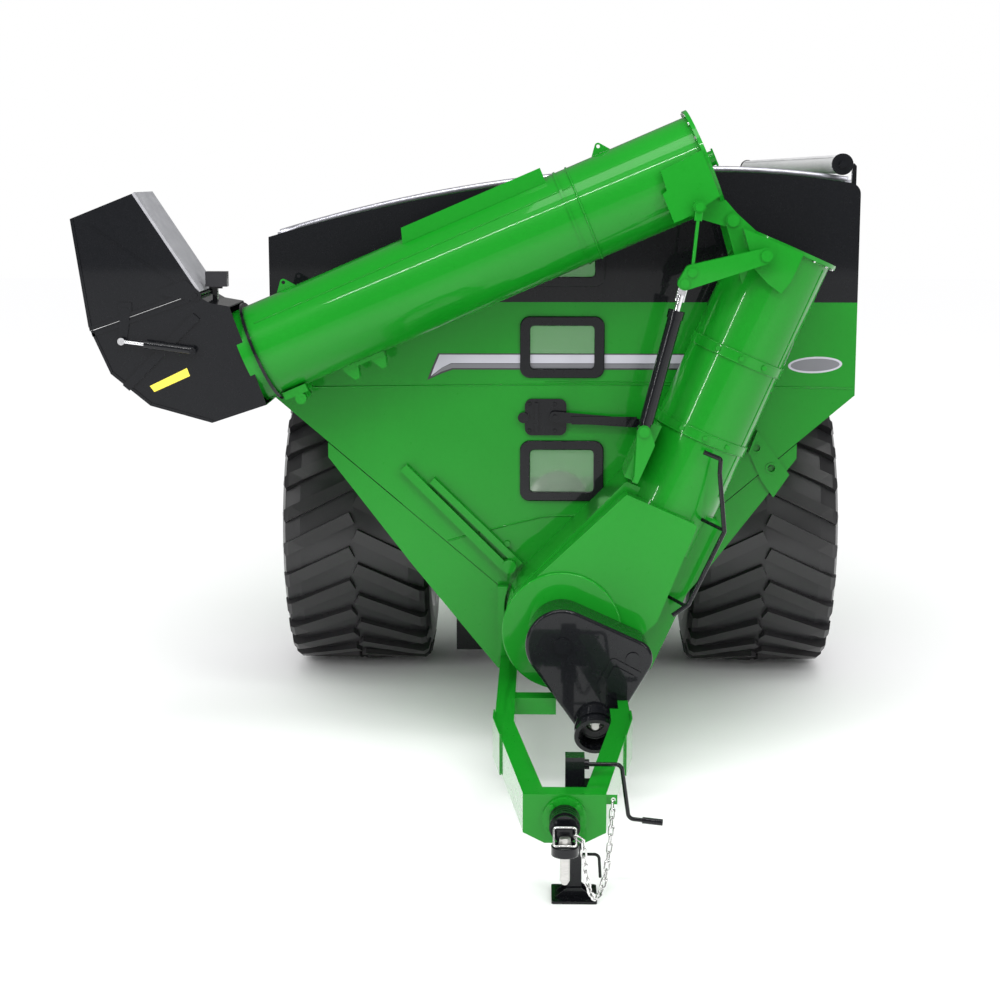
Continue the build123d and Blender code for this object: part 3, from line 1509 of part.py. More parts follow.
# ---- spout: a fixed elbow and a hood that tilts on it ----
spout_half = 272.0
spout_wall = 6.0
spout_pivot = Vector(-2190, 0, up(2990))
elbow_outline = [
    (-1990, up(2925)),
    (-2105, up(2945)),
    (-2196, up(2998)),
    (-2822, up(2775)),
    (-2712, up(2520)),
    (-2479, up(2329)),
    (-2108, up(2226)),
    (-1778, up(2336)),
]
hood_outline = [
    (-2174, up(3010)),
    (-2552, up(3588)),
    (-2925, up(3440)),
    (-2830, up(2776)),
]


elbow_base = Vector(-2214, 0, up(2665))
hood_lug = Vector(-2632, 0, up(2719))
light_mount = Vector(-2085, tube_y - 60, up(3060))


def duct(outline, opening_edges):
    """A flat-sided duct: each edge of the outline is a wall, unless it is named as open."""
    count = len(outline)
    lines = []
    for i in range(count):
        start = Vector(*outline[i])
        run = (Vector(*outline[(i + 1) % count]) - start).normalized()
        inward = Vector(run.Y, -run.X) * turn_side(outline)
        step = -20 if i in opening_edges else spout_wall
        lines.append((start + inward * step, run))
    inner = []
    for i in range(count):
        (p, u), (q, v) = lines[i - 1], lines[i]
        cross = u.X * v.Y - u.Y * v.X
        share = ((q.X - p.X) * v.Y - (q.Y - p.Y) * v.X) / cross
        inner.append((p.X + u.X * share, p.Y + u.Y * share))
    prism(outline, across(tube_y + spout_half), 2 * spout_half)
    with BuildSketch(across(tube_y + spout_half - spout_wall)) as space:
        with BuildLine():
            Polyline(*inner, close=True)
        make_face()
    extrude(space.sketch, amount=2 * (spout_half - spout_wall), mode=Mode.SUBTRACT)


def turn_side(outline):
    """1 if the outline runs clockwise, -1 if it runs the other way."""
    area = 0.0
    for (ax, ay), (bx, by) in zip(outline, outline[1:] + outline[:1]):
        area += ax * by - bx * ay
    return -1 if area > 0 else 1


with BuildPart() as spout_elbow:
    duct(elbow_outline, (2, 7))
    bore_out(tuple(upper_face), outward, upper_length + 1, tube_radius + 0.3)
    disc(spout_pivot.X, spout_pivot.Z, tube_y + spout_half + 16, 14, 2 * spout_half + 32)
    disc(elbow_base.X, elbow_base.Z, tube_y - spout_half + 3, 30, 16)
    disc(elbow_base.X, elbow_base.Z, tube_y - spout_half + 3, 12, 65)
    rib = [(-2640, up(2455)), (-2600, up(2420)), (-2165, up(2850)), (-2205, up(2885))]
    prism(rib, across(tube_y - spout_half + 3), 17)
    box_at((-2120, tube_y - 80, up(2942)), (-2090, tube_y - 40, up(3050)))
    box_at((-2140, tube_y - 80, up(3020)), (-2060, tube_y - 66, up(3110)))
    disc(light_mount.X, light_mount.Z + 20, tube_y - 40, 9, 90)

with BuildPart() as elbow_collar:
    start = upper_end + outward * (upper_length - 95)
    pipe(tuple(start), outward, 18, tube_radius + 26, tube_radius + 0.1)

with BuildPart() as spout_hood:
    duct(hood_outline, (0, 1, 3))
    for y in (tube_y + spout_half + spout_wall + 1, tube_y - spout_half - 1):
        with BuildSketch(across(y)) as cheek:
            with Locations((spout_pivot.X, spout_pivot.Z)):
                Circle(34)
            with Locations((spout_pivot.X - 60, spout_pivot.Z + 70)):
                Circle(20)
            with Locations((spout_pivot.X - 200, spout_pivot.Z + 20)):
                Circle(20)
            make_hull()
        extrude(cheek.sketch, amount=spout_wall)
    for y in (tube_y + spout_half + 2, tube_y - spout_half + 1):
        disc(spout_pivot.X - 60, spout_pivot.Z + 70, y, 14, 3)
    disc(spout_pivot.X, spout_pivot.Z, 4000, 14 + running, 4000, Mode.SUBTRACT)
    y = tube_y - spout_half - 1
    with BuildSketch(across(y)) as arm:
        with Locations((hood_lug.X, hood_lug.Z)):
            Circle(26)
        with Locations((hood_lug.X + 20, hood_lug.Z + 170)):
            Circle(30)
        make_hull()
    extrude(arm.sketch, amount=spout_wall + 2)
    box_at((hood_lug.X - 20, y - 6, hood_lug.Z + 170), (hood_lug.X + 60, y + 3, hood_lug.Z + 230))
    disc(hood_lug.X, hood_lug.Z, y, 12, 28)
finish(spout_hood.part, "spout_hood")

with BuildPart() as hood_liner:
    a, b = (Vector(x, 0, z) for x, z in hood_outline[:2])
    run = (b - a).normalized()
    side = Vector(run.Z, 0, -run.X)
    outline = [a - run * 4, b, b + side * 16, a + side * 16 - run * 4]
    low_y = tube_y + spout_half
    prism([(p.X, p.Z) for p in outline], across(low_y), 2 * spout_half)
finish(hood_liner.part, "hood_liner")

spout_cyl_y = tube_y - spout_half - 42
spout_run = (hood_lug - elbow_base).normalized()
spout_length = (hood_lug - elbow_base).length
with BuildPart() as spout_barrel:
    start = Vector(elbow_base.X, spout_cyl_y, elbow_base.Z)
    disc(start.X, start.Z, spout_cyl_y + 14, 24, 28)
    tube_along(tuple(start), tuple(start + spout_run * 285), 24)
    disc(start.X, start.Z, spout_cyl_y + 30, 12 + running, 60, Mode.SUBTRACT)
    tube_along(tuple(start + spout_run * 60), tuple(start + spout_run * 290), 11 + running, Mode.SUBTRACT)
finish(spout_barrel.part, "spout_barrel")

with BuildPart() as spout_rod:
    start = Vector(elbow_base.X, spout_cyl_y, elbow_base.Z)
    end = Vector(hood_lug.X, spout_cyl_y, hood_lug.Z)
    tube_along(tuple(start + spout_run * 140), tuple(end), 11)
    disc(end.X, end.Z, spout_cyl_y + 12, 22, 24)
finish(spout_rod.part, "spout_rod")

finish(together(spout_elbow.part, elbow_collar.part), "spout_elbow")

with BuildPart() as work_light:
    centre_z = light_mount.Z + 20
    box_at((-2150, tube_y - 150, centre_z - 45), (-2020, tube_y - 81, centre_z + 45))
    disc(light_mount.X, centre_z, tube_y, 9 + running, 140, Mode.SUBTRACT)
finish(work_light.part, "work_light")

# ---- drive ----
case_rear_y = housing_front_y + 14
cover_rear_y = cover_front_y + cover_depth
with BuildPart() as drive_case:
    lobes(drive_outline(16), across(case_rear_y), case_rear_y - cover_rear_y)
    lobes(drive_outline(26), across(case_rear_y - 10), case_rear_y - cover_rear_y, Mode.SUBTRACT)
    disc(0, up(auger_height), case_rear_y, shaft_radius + running, 20, Mode.SUBTRACT)

with BuildPart() as drive_cover:
    lobes(drive_outline(0), across(cover_rear_y), cover_depth)
    fillet(faces().sort_by(Axis.Y)[0].edges(), 20)
    lobes(drive_outline(12), across(cover_rear_y), cover_depth - 12, Mode.SUBTRACT)
    disc(0, up(auger_height), cover_front_y, 50, 14)
    disc(idler_x, up(idler_height), cover_front_y, 42, 14)
    tilted = Plane(origin=(335, cover_front_y, up(770)), x_dir=(cos(radians(28)), 0, -sin(radians(28))), z_dir=(0, -1, 0))
    with BuildSketch(tilted) as hatch:
        RectangleRounded(210, 210, 26)
    extrude(hatch.sketch, amount=12)
    with BuildSketch(tilted.offset(12)) as hatch:
        RectangleRounded(140, 140, 20)
    extrude(hatch.sketch, amount=14)
    disc(input_x, up(input_height), cover_front_y + cover_depth, 60, 200, Mode.SUBTRACT)
finish(drive_cover.part, "drive_cover")

shield_tilt = 22.0
shield_axis = Vector(0, -cos(radians(shield_tilt)), -sin(radians(shield_tilt)))
shield_start = Vector(input_x, cover_front_y + 6, up(input_height + 6))
with BuildPart() as input_shield:
    pipe(tuple(shield_start), shield_axis, 150, 112, 100)
    pipe(tuple(shield_start + shield_axis * 132), shield_axis, 22, 124, 100)
    pipe(tuple(shield_start + shield_axis * 60), shield_axis, 20, 122, 100)
    box_at((0, cover_front_y, up(200)), (500, cover_front_y + 300, up(900)), Mode.SUBTRACT)
finish(input_shield.part, "input_shield")

shaft_mid_y = (case_rear_y + cover_rear_y) / 2
with BuildPart() as input_shaft:
    boss_end_y = cover_front_y + 10
    disc(input_x, up(input_height), case_rear_y - 10.3, input_shaft_radius + 12, case_rear_y - 10.3 - boss_end_y)
    disc(input_x, up(input_height), boss_end_y, input_shaft_radius, input_shaft_end)
    disc(input_x, up(input_height), shaft_mid_y + 20, 72, 40)
finish(input_shaft.part, "input_shaft")

with BuildPart() as horizontal_auger:
    start = (0, housing_front_y + 70, up(auger_height))
    add(auger(start, (0, 1, 0), slope_foot_y - housing_front_y - 130, 520, flight_radius, 290, 100))
    disc(0, up(auger_height), shaft_mid_y + 20, 160, 40)
    disc(0, up(auger_height), shaft_mid_y + 26, 90, 52)
finish(horizontal_auger.part, "horizontal_auger")

with BuildPart() as idler:
    disc(idler_x, up(idler_height), shaft_mid_y + 20, 60, 40)
    disc(idler_x, up(idler_height), shaft_mid_y + 60, 18 + running, 120, Mode.SUBTRACT)
finish(idler.part, "chain_idler")

with BuildPart() as idler_post:
    disc(idler_x, up(idler_height), case_rear_y - 10, 18, case_rear_y - 10 - cover_front_y - 14)
finish(together(drive_case.part, idler_post.part), "drive_case")



def loop_outline(extra):
    """The chain's belt round the three sprockets."""
    return [
        (0, up(auger_height), 160 + extra),
        (idler_x, up(idler_height), 60 + extra),
        (input_x, up(input_height), 72 + extra),
    ]


with BuildPart() as drive_chain:
    lobes(loop_outline(12), across(shaft_mid_y + 15), 30)
    lobes(loop_outline(0.4), across(shaft_mid_y + 15), 30, Mode.SUBTRACT)
finish(drive_chain.part, "drive_chain")

# ---- fittings on the tank front ----
arm_pivot = Vector(-45, 0, up(2196))
with BuildPart() as front_bracket:
    with BuildSketch(across(tank_front_y)):
        with Locations((-103, up(2190))):
            RectangleRounded(262, 232, 44)
    extrude(amount=22)
    disc(-244, up(2188), tank_front_y, 34, 44)
    disc(arm_pivot.X, arm_pivot.Z, tank_front_y - 22, 32, 14)
    disc(arm_pivot.X, arm_pivot.Z, tank_front_y - 36, 14, 44)
    box_at((-172, tank_front_y - 40, up(2090)), (-150, tank_front_y - 22, up(2282)))
finish(front_bracket.part, "front_bracket")

with BuildPart() as bracket_arm:
    y = tank_front_y - 36 - side_gap
    with BuildSketch(across(y)) as arm:
        with Locations((arm_pivot.X, arm_pivot.Z)):
            Circle(34)
        with Locations((480, up(2158))):
            Circle(28)
        make_hull()
    extrude(arm.sketch, amount=24)
    box_at((60, y - 34, up(2150)), (470, y - 24, up(2200)))
    disc(arm_pivot.X, arm_pivot.Z, y, 14 + running, 60, Mode.SUBTRACT)
finish(bracket_arm.part, "bracket_arm")

brace_depth = 50.0
with BuildPart() as front_braces:
    for high_x, high_z, low_x, low_z, width in ((-1003, 1868, -314, 1179, 56), (-822, 1786, -262, 1240, 44)):
        high = Vector(high_x, 0, up(high_z))
        low = Vector(low_x, 0, up(low_z))
        run = (low - high).normalized()
        side = Vector(-run.Z, 0, run.X) * (width / 2)
        outline = [high + side, low + side, low - side, high - side]
        prism([(p.X, p.Z) for p in outline], across(tank_front_y), brace_depth)
    disc(-330, up(1238), tank_front_y, 44, 90)
    disc(-345, up(1372), tank_front_y, 20, 22)

with BuildPart() as hanger_bracket:
    outline = [(1238, up(2100)), (1440, up(1826)), (1342, up(1680)), (1262, up(1790)), (1185, up(1960))]
    prism(outline, across(tank_front_y), 14)
    outline = [(1185, up(1960)), (1238, up(2100)), (1226, up(2110)), (1172, up(1970))]
    prism(outline, across(tank_front_y), 70)
    for x, z in ((1228, 1998), (1325, 1868)):
        disc(x, up(z), tank_front_y, 36, 20)
        disc(x, up(z), tank_front_y, 24, 20, Mode.SUBTRACT)

hose_rod_y = 2420.0
with BuildPart() as hose_rod:
    bent_bar(
        [
            (838, hose_rod_y, up(2072)),
            (940, hose_rod_y, up(2030)),
            (936, hose_rod_y, up(1944)),
            (970, hose_rod_y, up(1590)),
            (762, hose_rod_y, up(1142)),
            (668, hose_rod_y, up(1075)),
        ],
        18,
        14,
    )
    for x, z in ((964, 1600), (752, 1130)):
        spot = Vector(x, hose_rod_y, up(z))
        tube_along(tuple(spot), (x - 130, hose_rod_y + 170, up(z) + 40), 11)
    bore_out(tuple(lower_face), down, lower_length, tube_radius + 0.3)
    lobes(housing_body(0), across(tank_front_y), tank_front_y - housing_step_y, Mode.SUBTRACT)
    lobes(housing_face(0), across(housing_step_y), housing_step_y - housing_front_y - 40, Mode.SUBTRACT)
finish(hose_rod.part, "hose_rod")

finish(together(front_braces.part, hanger_bracket.part), "front_fittings")
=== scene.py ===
import json
import math
import random

import bmesh
import bpy
from mathutils import Matrix, Vector


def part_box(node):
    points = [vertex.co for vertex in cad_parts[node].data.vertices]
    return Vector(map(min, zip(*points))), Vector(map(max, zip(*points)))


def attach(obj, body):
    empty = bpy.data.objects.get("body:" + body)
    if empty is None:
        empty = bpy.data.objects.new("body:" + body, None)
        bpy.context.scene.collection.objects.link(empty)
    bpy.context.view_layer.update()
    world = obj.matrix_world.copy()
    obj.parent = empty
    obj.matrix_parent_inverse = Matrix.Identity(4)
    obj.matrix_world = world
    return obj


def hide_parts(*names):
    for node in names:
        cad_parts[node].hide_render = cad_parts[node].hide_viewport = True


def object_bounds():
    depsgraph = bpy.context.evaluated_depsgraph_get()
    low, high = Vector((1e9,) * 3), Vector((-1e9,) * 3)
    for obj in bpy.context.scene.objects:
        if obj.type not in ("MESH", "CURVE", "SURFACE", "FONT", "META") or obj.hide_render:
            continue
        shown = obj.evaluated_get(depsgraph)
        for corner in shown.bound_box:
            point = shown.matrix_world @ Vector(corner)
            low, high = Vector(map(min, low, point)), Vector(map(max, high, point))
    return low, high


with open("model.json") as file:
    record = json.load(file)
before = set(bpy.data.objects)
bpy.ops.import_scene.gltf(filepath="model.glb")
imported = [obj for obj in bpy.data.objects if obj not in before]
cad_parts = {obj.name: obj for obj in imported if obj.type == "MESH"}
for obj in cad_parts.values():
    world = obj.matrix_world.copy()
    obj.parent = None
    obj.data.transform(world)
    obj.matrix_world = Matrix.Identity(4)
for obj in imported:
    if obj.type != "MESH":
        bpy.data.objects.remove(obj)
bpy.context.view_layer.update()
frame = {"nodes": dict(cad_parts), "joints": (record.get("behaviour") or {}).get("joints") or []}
nodes = frame["nodes"]


# ---- Camera ----
# A long lens a little above the height of the tank, looking down at the hitch.
lens_mm = 68.75
camera_place = (-0.100, -8.8526, 3.329)
camera_tilt = 0.1692
camera_pan = 0.0243
lens = bpy.data.cameras.new("camera")
lens.lens = lens_mm
lens.clip_start = 0.1
lens.clip_end = 200
camera = bpy.data.objects.new("camera", lens)
camera.location = camera_place
camera.rotation_euler = (math.pi / 2 - camera_tilt, 0, camera_pan)
bpy.context.scene.collection.objects.link(camera)
bpy.context.scene.camera = camera
bpy.context.scene.view_settings.view_transform = "Standard"


# ---- Studio ----
# White floor and white surroundings, one large soft light overhead and a softer one each side.
ground = -0.375
whole_low, whole_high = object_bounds()
middle = (whole_low + whole_high) / 2


class Tone:
    """One socket in a material. Arithmetic on it adds Math nodes."""

    def __init__(self, tree, socket):
        self.tree = tree
        self.socket = socket

    def node(self, kind, settings=None, values=None, out=0):
        made = self.tree.nodes.new("ShaderNode" + kind)
        for key, setting in (settings or {}).items():
            if key == "stops":
                ramp = made.color_ramp
                while len(ramp.elements) < len(setting):
                    ramp.elements.new(0.5)
                for element, (at, colour) in zip(ramp.elements, setting):
                    element.position = at
                    element.color = (*colour, 1)
            else:
                setattr(made, key, setting)
        for key, value in (values or {}).items():
            socket = made.inputs[key]
            if isinstance(value, Tone):
                self.tree.links.new(value.socket, socket)
            elif hasattr(value, "__len__") and len(value) == 3 and socket.type == "RGBA":
                socket.default_value = (*value, 1)
            else:
                socket.default_value = value
        return Tone(self.tree, made.outputs[out])

    def maths(self, operation, *values):
        return self.node("Math", {"operation": operation}, dict(enumerate(values)))

    def __add__(self, other):
        return self.maths("ADD", self, other)

    __radd__ = __add__

    def __sub__(self, other):
        return self.maths("SUBTRACT", self, other)

    def __rsub__(self, other):
        return self.maths("SUBTRACT", other, self)

    def __mul__(self, other):
        return self.maths("MULTIPLY", self, other)

    __rmul__ = __mul__

    def __truediv__(self, other):
        return self.maths("DIVIDE", self, other)

    def __gt__(self, other):
        return self.maths("GREATER_THAN", self, other)

    def __lt__(self, other):
        return self.maths("LESS_THAN", self, other)

    def between(self, low, high):
        """0 below low, 1 above high, smooth between."""
        kind = {"interpolation_type": "SMOOTHSTEP"}
        return self.node("MapRange", kind, {0: self, 1: low, 2: high, 3: 0.0, 4: 1.0})

    def mixed(self, first, second):
        """The colour first where this is 0, second where it is 1."""
        kind = {"data_type": "RGBA"}
        return self.node("Mix", kind, {0: self, 6: first, 7: second}, out=2)

    def noise(self, scale, detail=2.0, rough=0.5, stretch=None):
        place = self
        if stretch:
            place = self.node("Mapping", None, {0: self, 3: stretch})
        return self.node("TexNoise", None, {0: place, 2: scale, 3: detail, 4: rough})

    def bumped(self, distance, strength=1.0, under=None):
        """A normal raised by this height, distance metres from low to high."""
        values = {0: strength, 1: distance, "Height": self}
        if under is not None:
            values["Normal"] = under
        return self.node("Bump", None, values)

    def part(self, axis):
        return self.node("SeparateXYZ", None, {0: self}, out=axis)


def new_finish(name, colour, roughness, metallic=0.0, coat=0.0, coat_rough=0.04):
    """A material with its shader and the point's place on the piece, in metres."""
    material = bpy.data.materials.new(name)
    material.use_nodes = True
    tree = material.node_tree
    shader = tree.nodes["Principled BSDF"]
    shader.inputs["Base Color"].default_value = (*colour, 1)
    shader.inputs["Roughness"].default_value = roughness
    shader.inputs["Metallic"].default_value = metallic
    shader.inputs["Coat Weight"].default_value = coat
    shader.inputs["Coat Roughness"].default_value = coat_rough
    place = Tone(tree, None).node("TexCoord", out=3)
    return material, shader, place


def feed(shader, **tones):
    names = {"colour": "Base Color", "roughness": "Roughness", "normal": "Normal"}
    names.update(metallic="Metallic", alpha="Alpha", coat="Coat Weight")
    for key, tone in tones.items():
        tone.tree.links.new(tone.socket, shader.inputs[names[key]])


def dress(material, slot, *names):
    """Gives CAD nodes their finish."""
    for name in names:
        mesh = nodes[name].data
        mesh.materials.clear()
        mesh.materials.append(material)


def soft_light(name, place, aim, size, power):
    light = bpy.data.lights.new(name, "AREA")
    light.shape = "RECTANGLE"
    light.size, light.size_y = size
    light.energy = power
    lamp = bpy.data.objects.new(name, light)
    lamp.location = place
    lamp.rotation_euler = (Vector(aim) - Vector(place)).to_track_quat("-Z", "Y").to_euler()
    bpy.context.scene.collection.objects.link(lamp)


floor_mesh = bpy.data.meshes.new("floor")
reach = 60.0
corners = [(-reach, -reach), (reach, -reach), (reach, reach), (-reach, reach)]
floor_mesh.from_pydata([(x, y, ground) for x, y in corners], [], [(0, 1, 2, 3)])
floor = bpy.data.objects.new("floor", floor_mesh)
bpy.context.scene.collection.objects.link(floor)
floor_white, floor_shader, floor_place = new_finish("floor_white", (0.97, 0.97, 0.975), 0.6)
feed(floor_shader, roughness=floor_place.noise(0.8) * 0.1 + 0.5)
floor_shader.inputs["Specular IOR Level"].default_value = 0.0
floor_mesh.materials.append(floor_white)

world = bpy.data.worlds.new("studio")
bpy.context.scene.world = world
world.use_nodes = True
sky = world.node_tree.nodes["Background"]
sky.inputs["Color"].default_value = (1.0, 1.0, 1.0, 1)
ray = Tone(world.node_tree, None)
seen = ray.node("LightPath", out=0)
mirrored = ray.node("LightPath", out=3) * ray.node("LightPath", out=5)
strength = seen * -0.02 + mirrored * -0.82 + 1.02
world.node_tree.links.new(strength.socket, sky.inputs["Strength"])
soft_light("overhead", (0.5, -0.5, 10.5), (0, 3.5, 1.0), (8.0, 3.5), 420)
soft_light("overhead_strip", (-0.5, -4.5, 8.8), (0, 3.0, 1.8), (10.0, 0.16), 330)
soft_light("left_bank", (-8.5, -6.0, 6.0), (0, 3.0, 1.8), (0.4, 7.5), 360)
soft_light("right_bank", (7.5, -7.0, 6.0), (0, 3.0, 1.8), (0.3, 6.5), 280)


# ---- Green paint ----
# Two-pack gloss enamel over welded sheet steel: the tank, tubes, tongue and links.
def enamel(name, colour, deep, gloss, waviness=0.0016):
    material, shader, place = new_finish(name, colour, gloss, coat=1.0, coat_rough=0.04)
    shader.inputs["Coat IOR"].default_value = 1.28
    shader.inputs["Specular IOR Level"].default_value = 0.12
    cloudy = place.noise(0.7, 3.0)
    fine = place.noise(38.0, 3.0, 0.6)
    feed(
        shader,
        colour=(cloudy * 0.8 + fine * 0.2).between(0.3, 0.72).mixed(deep, colour),
        roughness=fine * 0.12 + (gloss - 0.06),
        normal=place.noise(260.0, 1.0).bumped(0.0002, 0.35, place.noise(1.7, 1.0).bumped(waviness)),
    )
    return material


green_paint = enamel("green_enamel", (0.006, 0.225, 0.012), (0.004, 0.195, 0.009), 0.30)
dress(
    green_paint,
    "green_paint",
    *("tongue", "front_sheet", "hopper_slopes", "tank_sides", "frame_rails"),
    *("rear_sheet", "lower_housing", "lower_tube", "fold_link", "tie_link"),
    *("hinge_pin",),
    *("lower_brackets", "upper_tube", "upper_brackets", "upper_fittings"),
    *("front_fittings", "upper_auger", "support_bulkheads"),
)


# ---- Black paint ----
# Gloss black enamel on the extensions, axle, spout, covers, jack and hitch.
black_paint = enamel("black_enamel", (0.006, 0.0065, 0.008), (0.004, 0.0045, 0.006), 0.26)
dress(
    black_paint,
    "black_paint",
    *("front_extension", "side_extensions", "axle", "hitch_eye"),
    *("jack_housing", "jack_leg", "jack_crank", "jack_lock_pin", "window_frames"),
    *("fold_barrel", "spout_hood", "spout_barrel", "spout_elbow", "drive_cover"),
    *("input_shield", "front_bracket", "bracket_arm", "hose_rod", "drive_case", "tarp_tube"),
)


# The hitch barrel's rear flange was sprayed with the tongue, so its paint is green behind the barrel.
barrel_low, barrel_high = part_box("hitch_barrel")
two_tone, two_shader, two_place = new_finish("hitch_two_tone", (0.006, 0.0065, 0.008), 0.28, coat=1.0)
two_shader.inputs["Coat IOR"].default_value = 1.28
two_shader.inputs["Specular IOR Level"].default_value = 0.12
dx = two_place.part(0) - (barrel_low.x + barrel_high.x) / 2
dz = two_place.part(2) - (barrel_low.z + barrel_high.z) / 2
off_axis = (dx * dx + dz * dz).maths("SQRT", dx * dx + dz * dz)
feed(
    two_shader,
    colour=(off_axis > 0.078).mixed((0.006, 0.0065, 0.008), (0.006, 0.225, 0.012)),
    roughness=two_place.noise(38.0, 3.0) * 0.12 + 0.22,
    normal=two_place.noise(160.0, 2.0).bumped(0.0003, 0.4),
)
dress(two_tone, "black_paint", "hitch_barrel")


# ---- Bare and plated metal ----
# Ground steel pins and shafts, bright zinc chain, and hard-chromed cylinder rods.
def plated(name, colour, rough, grain, stretch, metallic=1.0):
    material, shader, place = new_finish(name, colour, rough, metallic=metallic)
    streak = place.noise(grain, 4.0, 0.6, stretch=stretch)
    dark = tuple(0.8 * c for c in colour)
    feed(
        shader,
        colour=streak.between(0.25, 0.75).mixed(dark, colour),
        roughness=streak * 0.16 + (rough - 0.05),
        normal=streak.bumped(0.0006, 0.4),
    )
    return material


ground_steel = plated("ground_steel", (0.58, 0.57, 0.55), 0.3, 30.0, (1, 1, 6))
dress(ground_steel, "bare_steel", "hitch_pin", "input_shaft", "chain_idler", "lower_auger", "horizontal_auger")
bright_zinc = plated("bright_zinc", (0.80, 0.80, 0.79), 0.18, 24.0, (1, 1, 1))
dress(bright_zinc, "zinc_chain", "safety_chain", "drive_chain")
hard_chrome = plated("hard_chrome", (0.86, 0.86, 0.88), 0.08, 60.0, (1, 1, 12))
dress(hard_chrome, "chrome", "fold_rod", "spout_rod")
galvanised = plated("galvanised_bow", (0.62, 0.62, 0.68), 0.34, 18.0, (1, 1, 1), 0.8)
dress(galvanised, "bare_steel", "roof_bows")


# ---- Wheels ----
# Steel rims in silver enamel on cast hubs, with black moulded rubber tyres.
rim_paint = enamel("silver_rim_enamel", (0.62, 0.63, 0.65), (0.54, 0.55, 0.57), 0.3)
dress(rim_paint, "rim_paint", "wheel_rim_left", "wheel_rim_right", "wheel_hub_left", "wheel_hub_right")

rubber, rubber_shader, rubber_place = new_finish("tyre_rubber", (0.014, 0.014, 0.016), 0.36)
axle_low, axle_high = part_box("tyre_left")
hub_middle = (axle_low + axle_high) / 2
sideways = rubber_place.node("VectorMath", {"operation": "SUBTRACT"}, {0: rubber_place, 1: tuple(hub_middle)})
y_off = sideways.part(1)
z_off = sideways.part(2)
from_axle = (y_off * y_off + z_off * z_off).maths("SQRT", y_off * y_off + z_off * z_off)
dusty = rubber_place.noise(5.0, 4.0, 0.6)
grainy = rubber_place.noise(120.0, 3.0, 0.7)
tread_top = from_axle.between(1.02, 1.09)
feed(
    rubber_shader,
    colour=(dusty * 0.5 + tread_top * 0.3).mixed((0.010, 0.010, 0.012), (0.030, 0.028, 0.029)),
    roughness=dusty * 0.14 + grainy * 0.08 + 0.22,
    normal=grainy.bumped(0.0010, 0.5, (from_axle * 140.0).maths("SINE", from_axle * 140.0).bumped(0.0012, 0.35)),
)
dress(rubber, "tyre", "tyre_left", "tyre_right")


# ---- Sight windows ----
# Clear sheet with a faint green cast, bedded behind black moulded frames.
window_pane, pane_shader, pane_place = new_finish("window_pane", (0.80, 0.95, 0.80), 0.06)
pane_shader.inputs["Transmission Weight"].default_value = 0.92
pane_shader.inputs["IOR"].default_value = 1.45
pane_haze = pane_place.noise(3.0, 3.0)
feed(
    pane_shader,
    colour=pane_haze.mixed((0.74, 0.92, 0.74), (0.90, 1.0, 0.90)),
    roughness=pane_haze * 0.10 + 0.02,
)
dress(window_pane, "window", "window_panes")


# ---- Lamps ----
# Ribbed red lenses at the rear, and a black work light with a clear lens on the spout.
lens_red, red_shader, red_place = new_finish("red_lens", (0.55, 0.01, 0.01), 0.12, coat=1.0)
ribs = (red_place.part(0) * 260.0).maths("SINE", red_place.part(0) * 260.0)
red_shader.inputs["Emission Strength"].default_value = 0.05
feed(
    red_shader,
    colour=ribs.between(-0.6, 1.0).mixed((0.32, 0.004, 0.004), (0.70, 0.02, 0.015)),
    normal=ribs.bumped(0.002, 0.6),
)
dress(lens_red, "lamp_red", "rear_lamps")
lamp_shell = enamel("lamp_shell", (0.022, 0.022, 0.025), (0.014, 0.014, 0.016), 0.3)
dress(lamp_shell, "lamp_body", "work_light")


# ---- Spout liner ----
# Light grey rubber strip bolted along the open edge of the hood.
liner_grey, liner_shader, liner_place = new_finish("liner_rubber", (0.50, 0.50, 0.53), 0.45)
liner_mottle = liner_place.noise(14.0, 4.0)
feed(
    liner_shader,
    colour=liner_mottle.mixed((0.22, 0.22, 0.24), (0.36, 0.36, 0.38)),
    roughness=liner_mottle * 0.2 + 0.35,
    normal=liner_place.noise(220.0, 2.0).bumped(0.0004, 0.5),
)
dress(liner_grey, "liner", "hood_liner")


# ---- Rolled tarp ----
# White coated fabric, one length of it wound on its steel tube along the right top rail.
tarp_cloth, tarp_shader, tarp_place = new_finish("tarp_cloth", (0.84, 0.84, 0.83), 0.5)
tarp_shader.inputs["Sheen Weight"].default_value = 0.2
weft = (tarp_place.part(1) * 900.0).maths("SINE", tarp_place.part(1) * 900.0)
soiled = tarp_place.noise(2.4, 4.0, 0.6)
feed(
    tarp_shader,
    colour=soiled.mixed((0.46, 0.46, 0.47), (0.64, 0.64, 0.65)),
    roughness=soiled * 0.16 + 0.40,
    normal=weft.bumped(0.0008, 0.35, tarp_place.noise(9.0, 3.0).bumped(0.006, 0.5)),
)


def new_piece(name, points, faces, material, body, smooth=False):
    """A mesh piece that rides on a body, with the finish it is given."""
    mesh = bpy.data.meshes.new(name)
    mesh.from_pydata([tuple(p) for p in points], [], faces)
    mesh.validate()
    tidy = bmesh.new()
    tidy.from_mesh(mesh)
    bmesh.ops.recalc_face_normals(tidy, faces=tidy.faces)
    tidy.to_mesh(mesh)
    tidy.free()
    mesh.materials.append(material)
    for face in mesh.polygons:
        face.use_smooth = smooth
    piece = bpy.data.objects.new(name, mesh)
    bpy.context.scene.collection.objects.link(piece)
    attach(piece, body)
    return piece


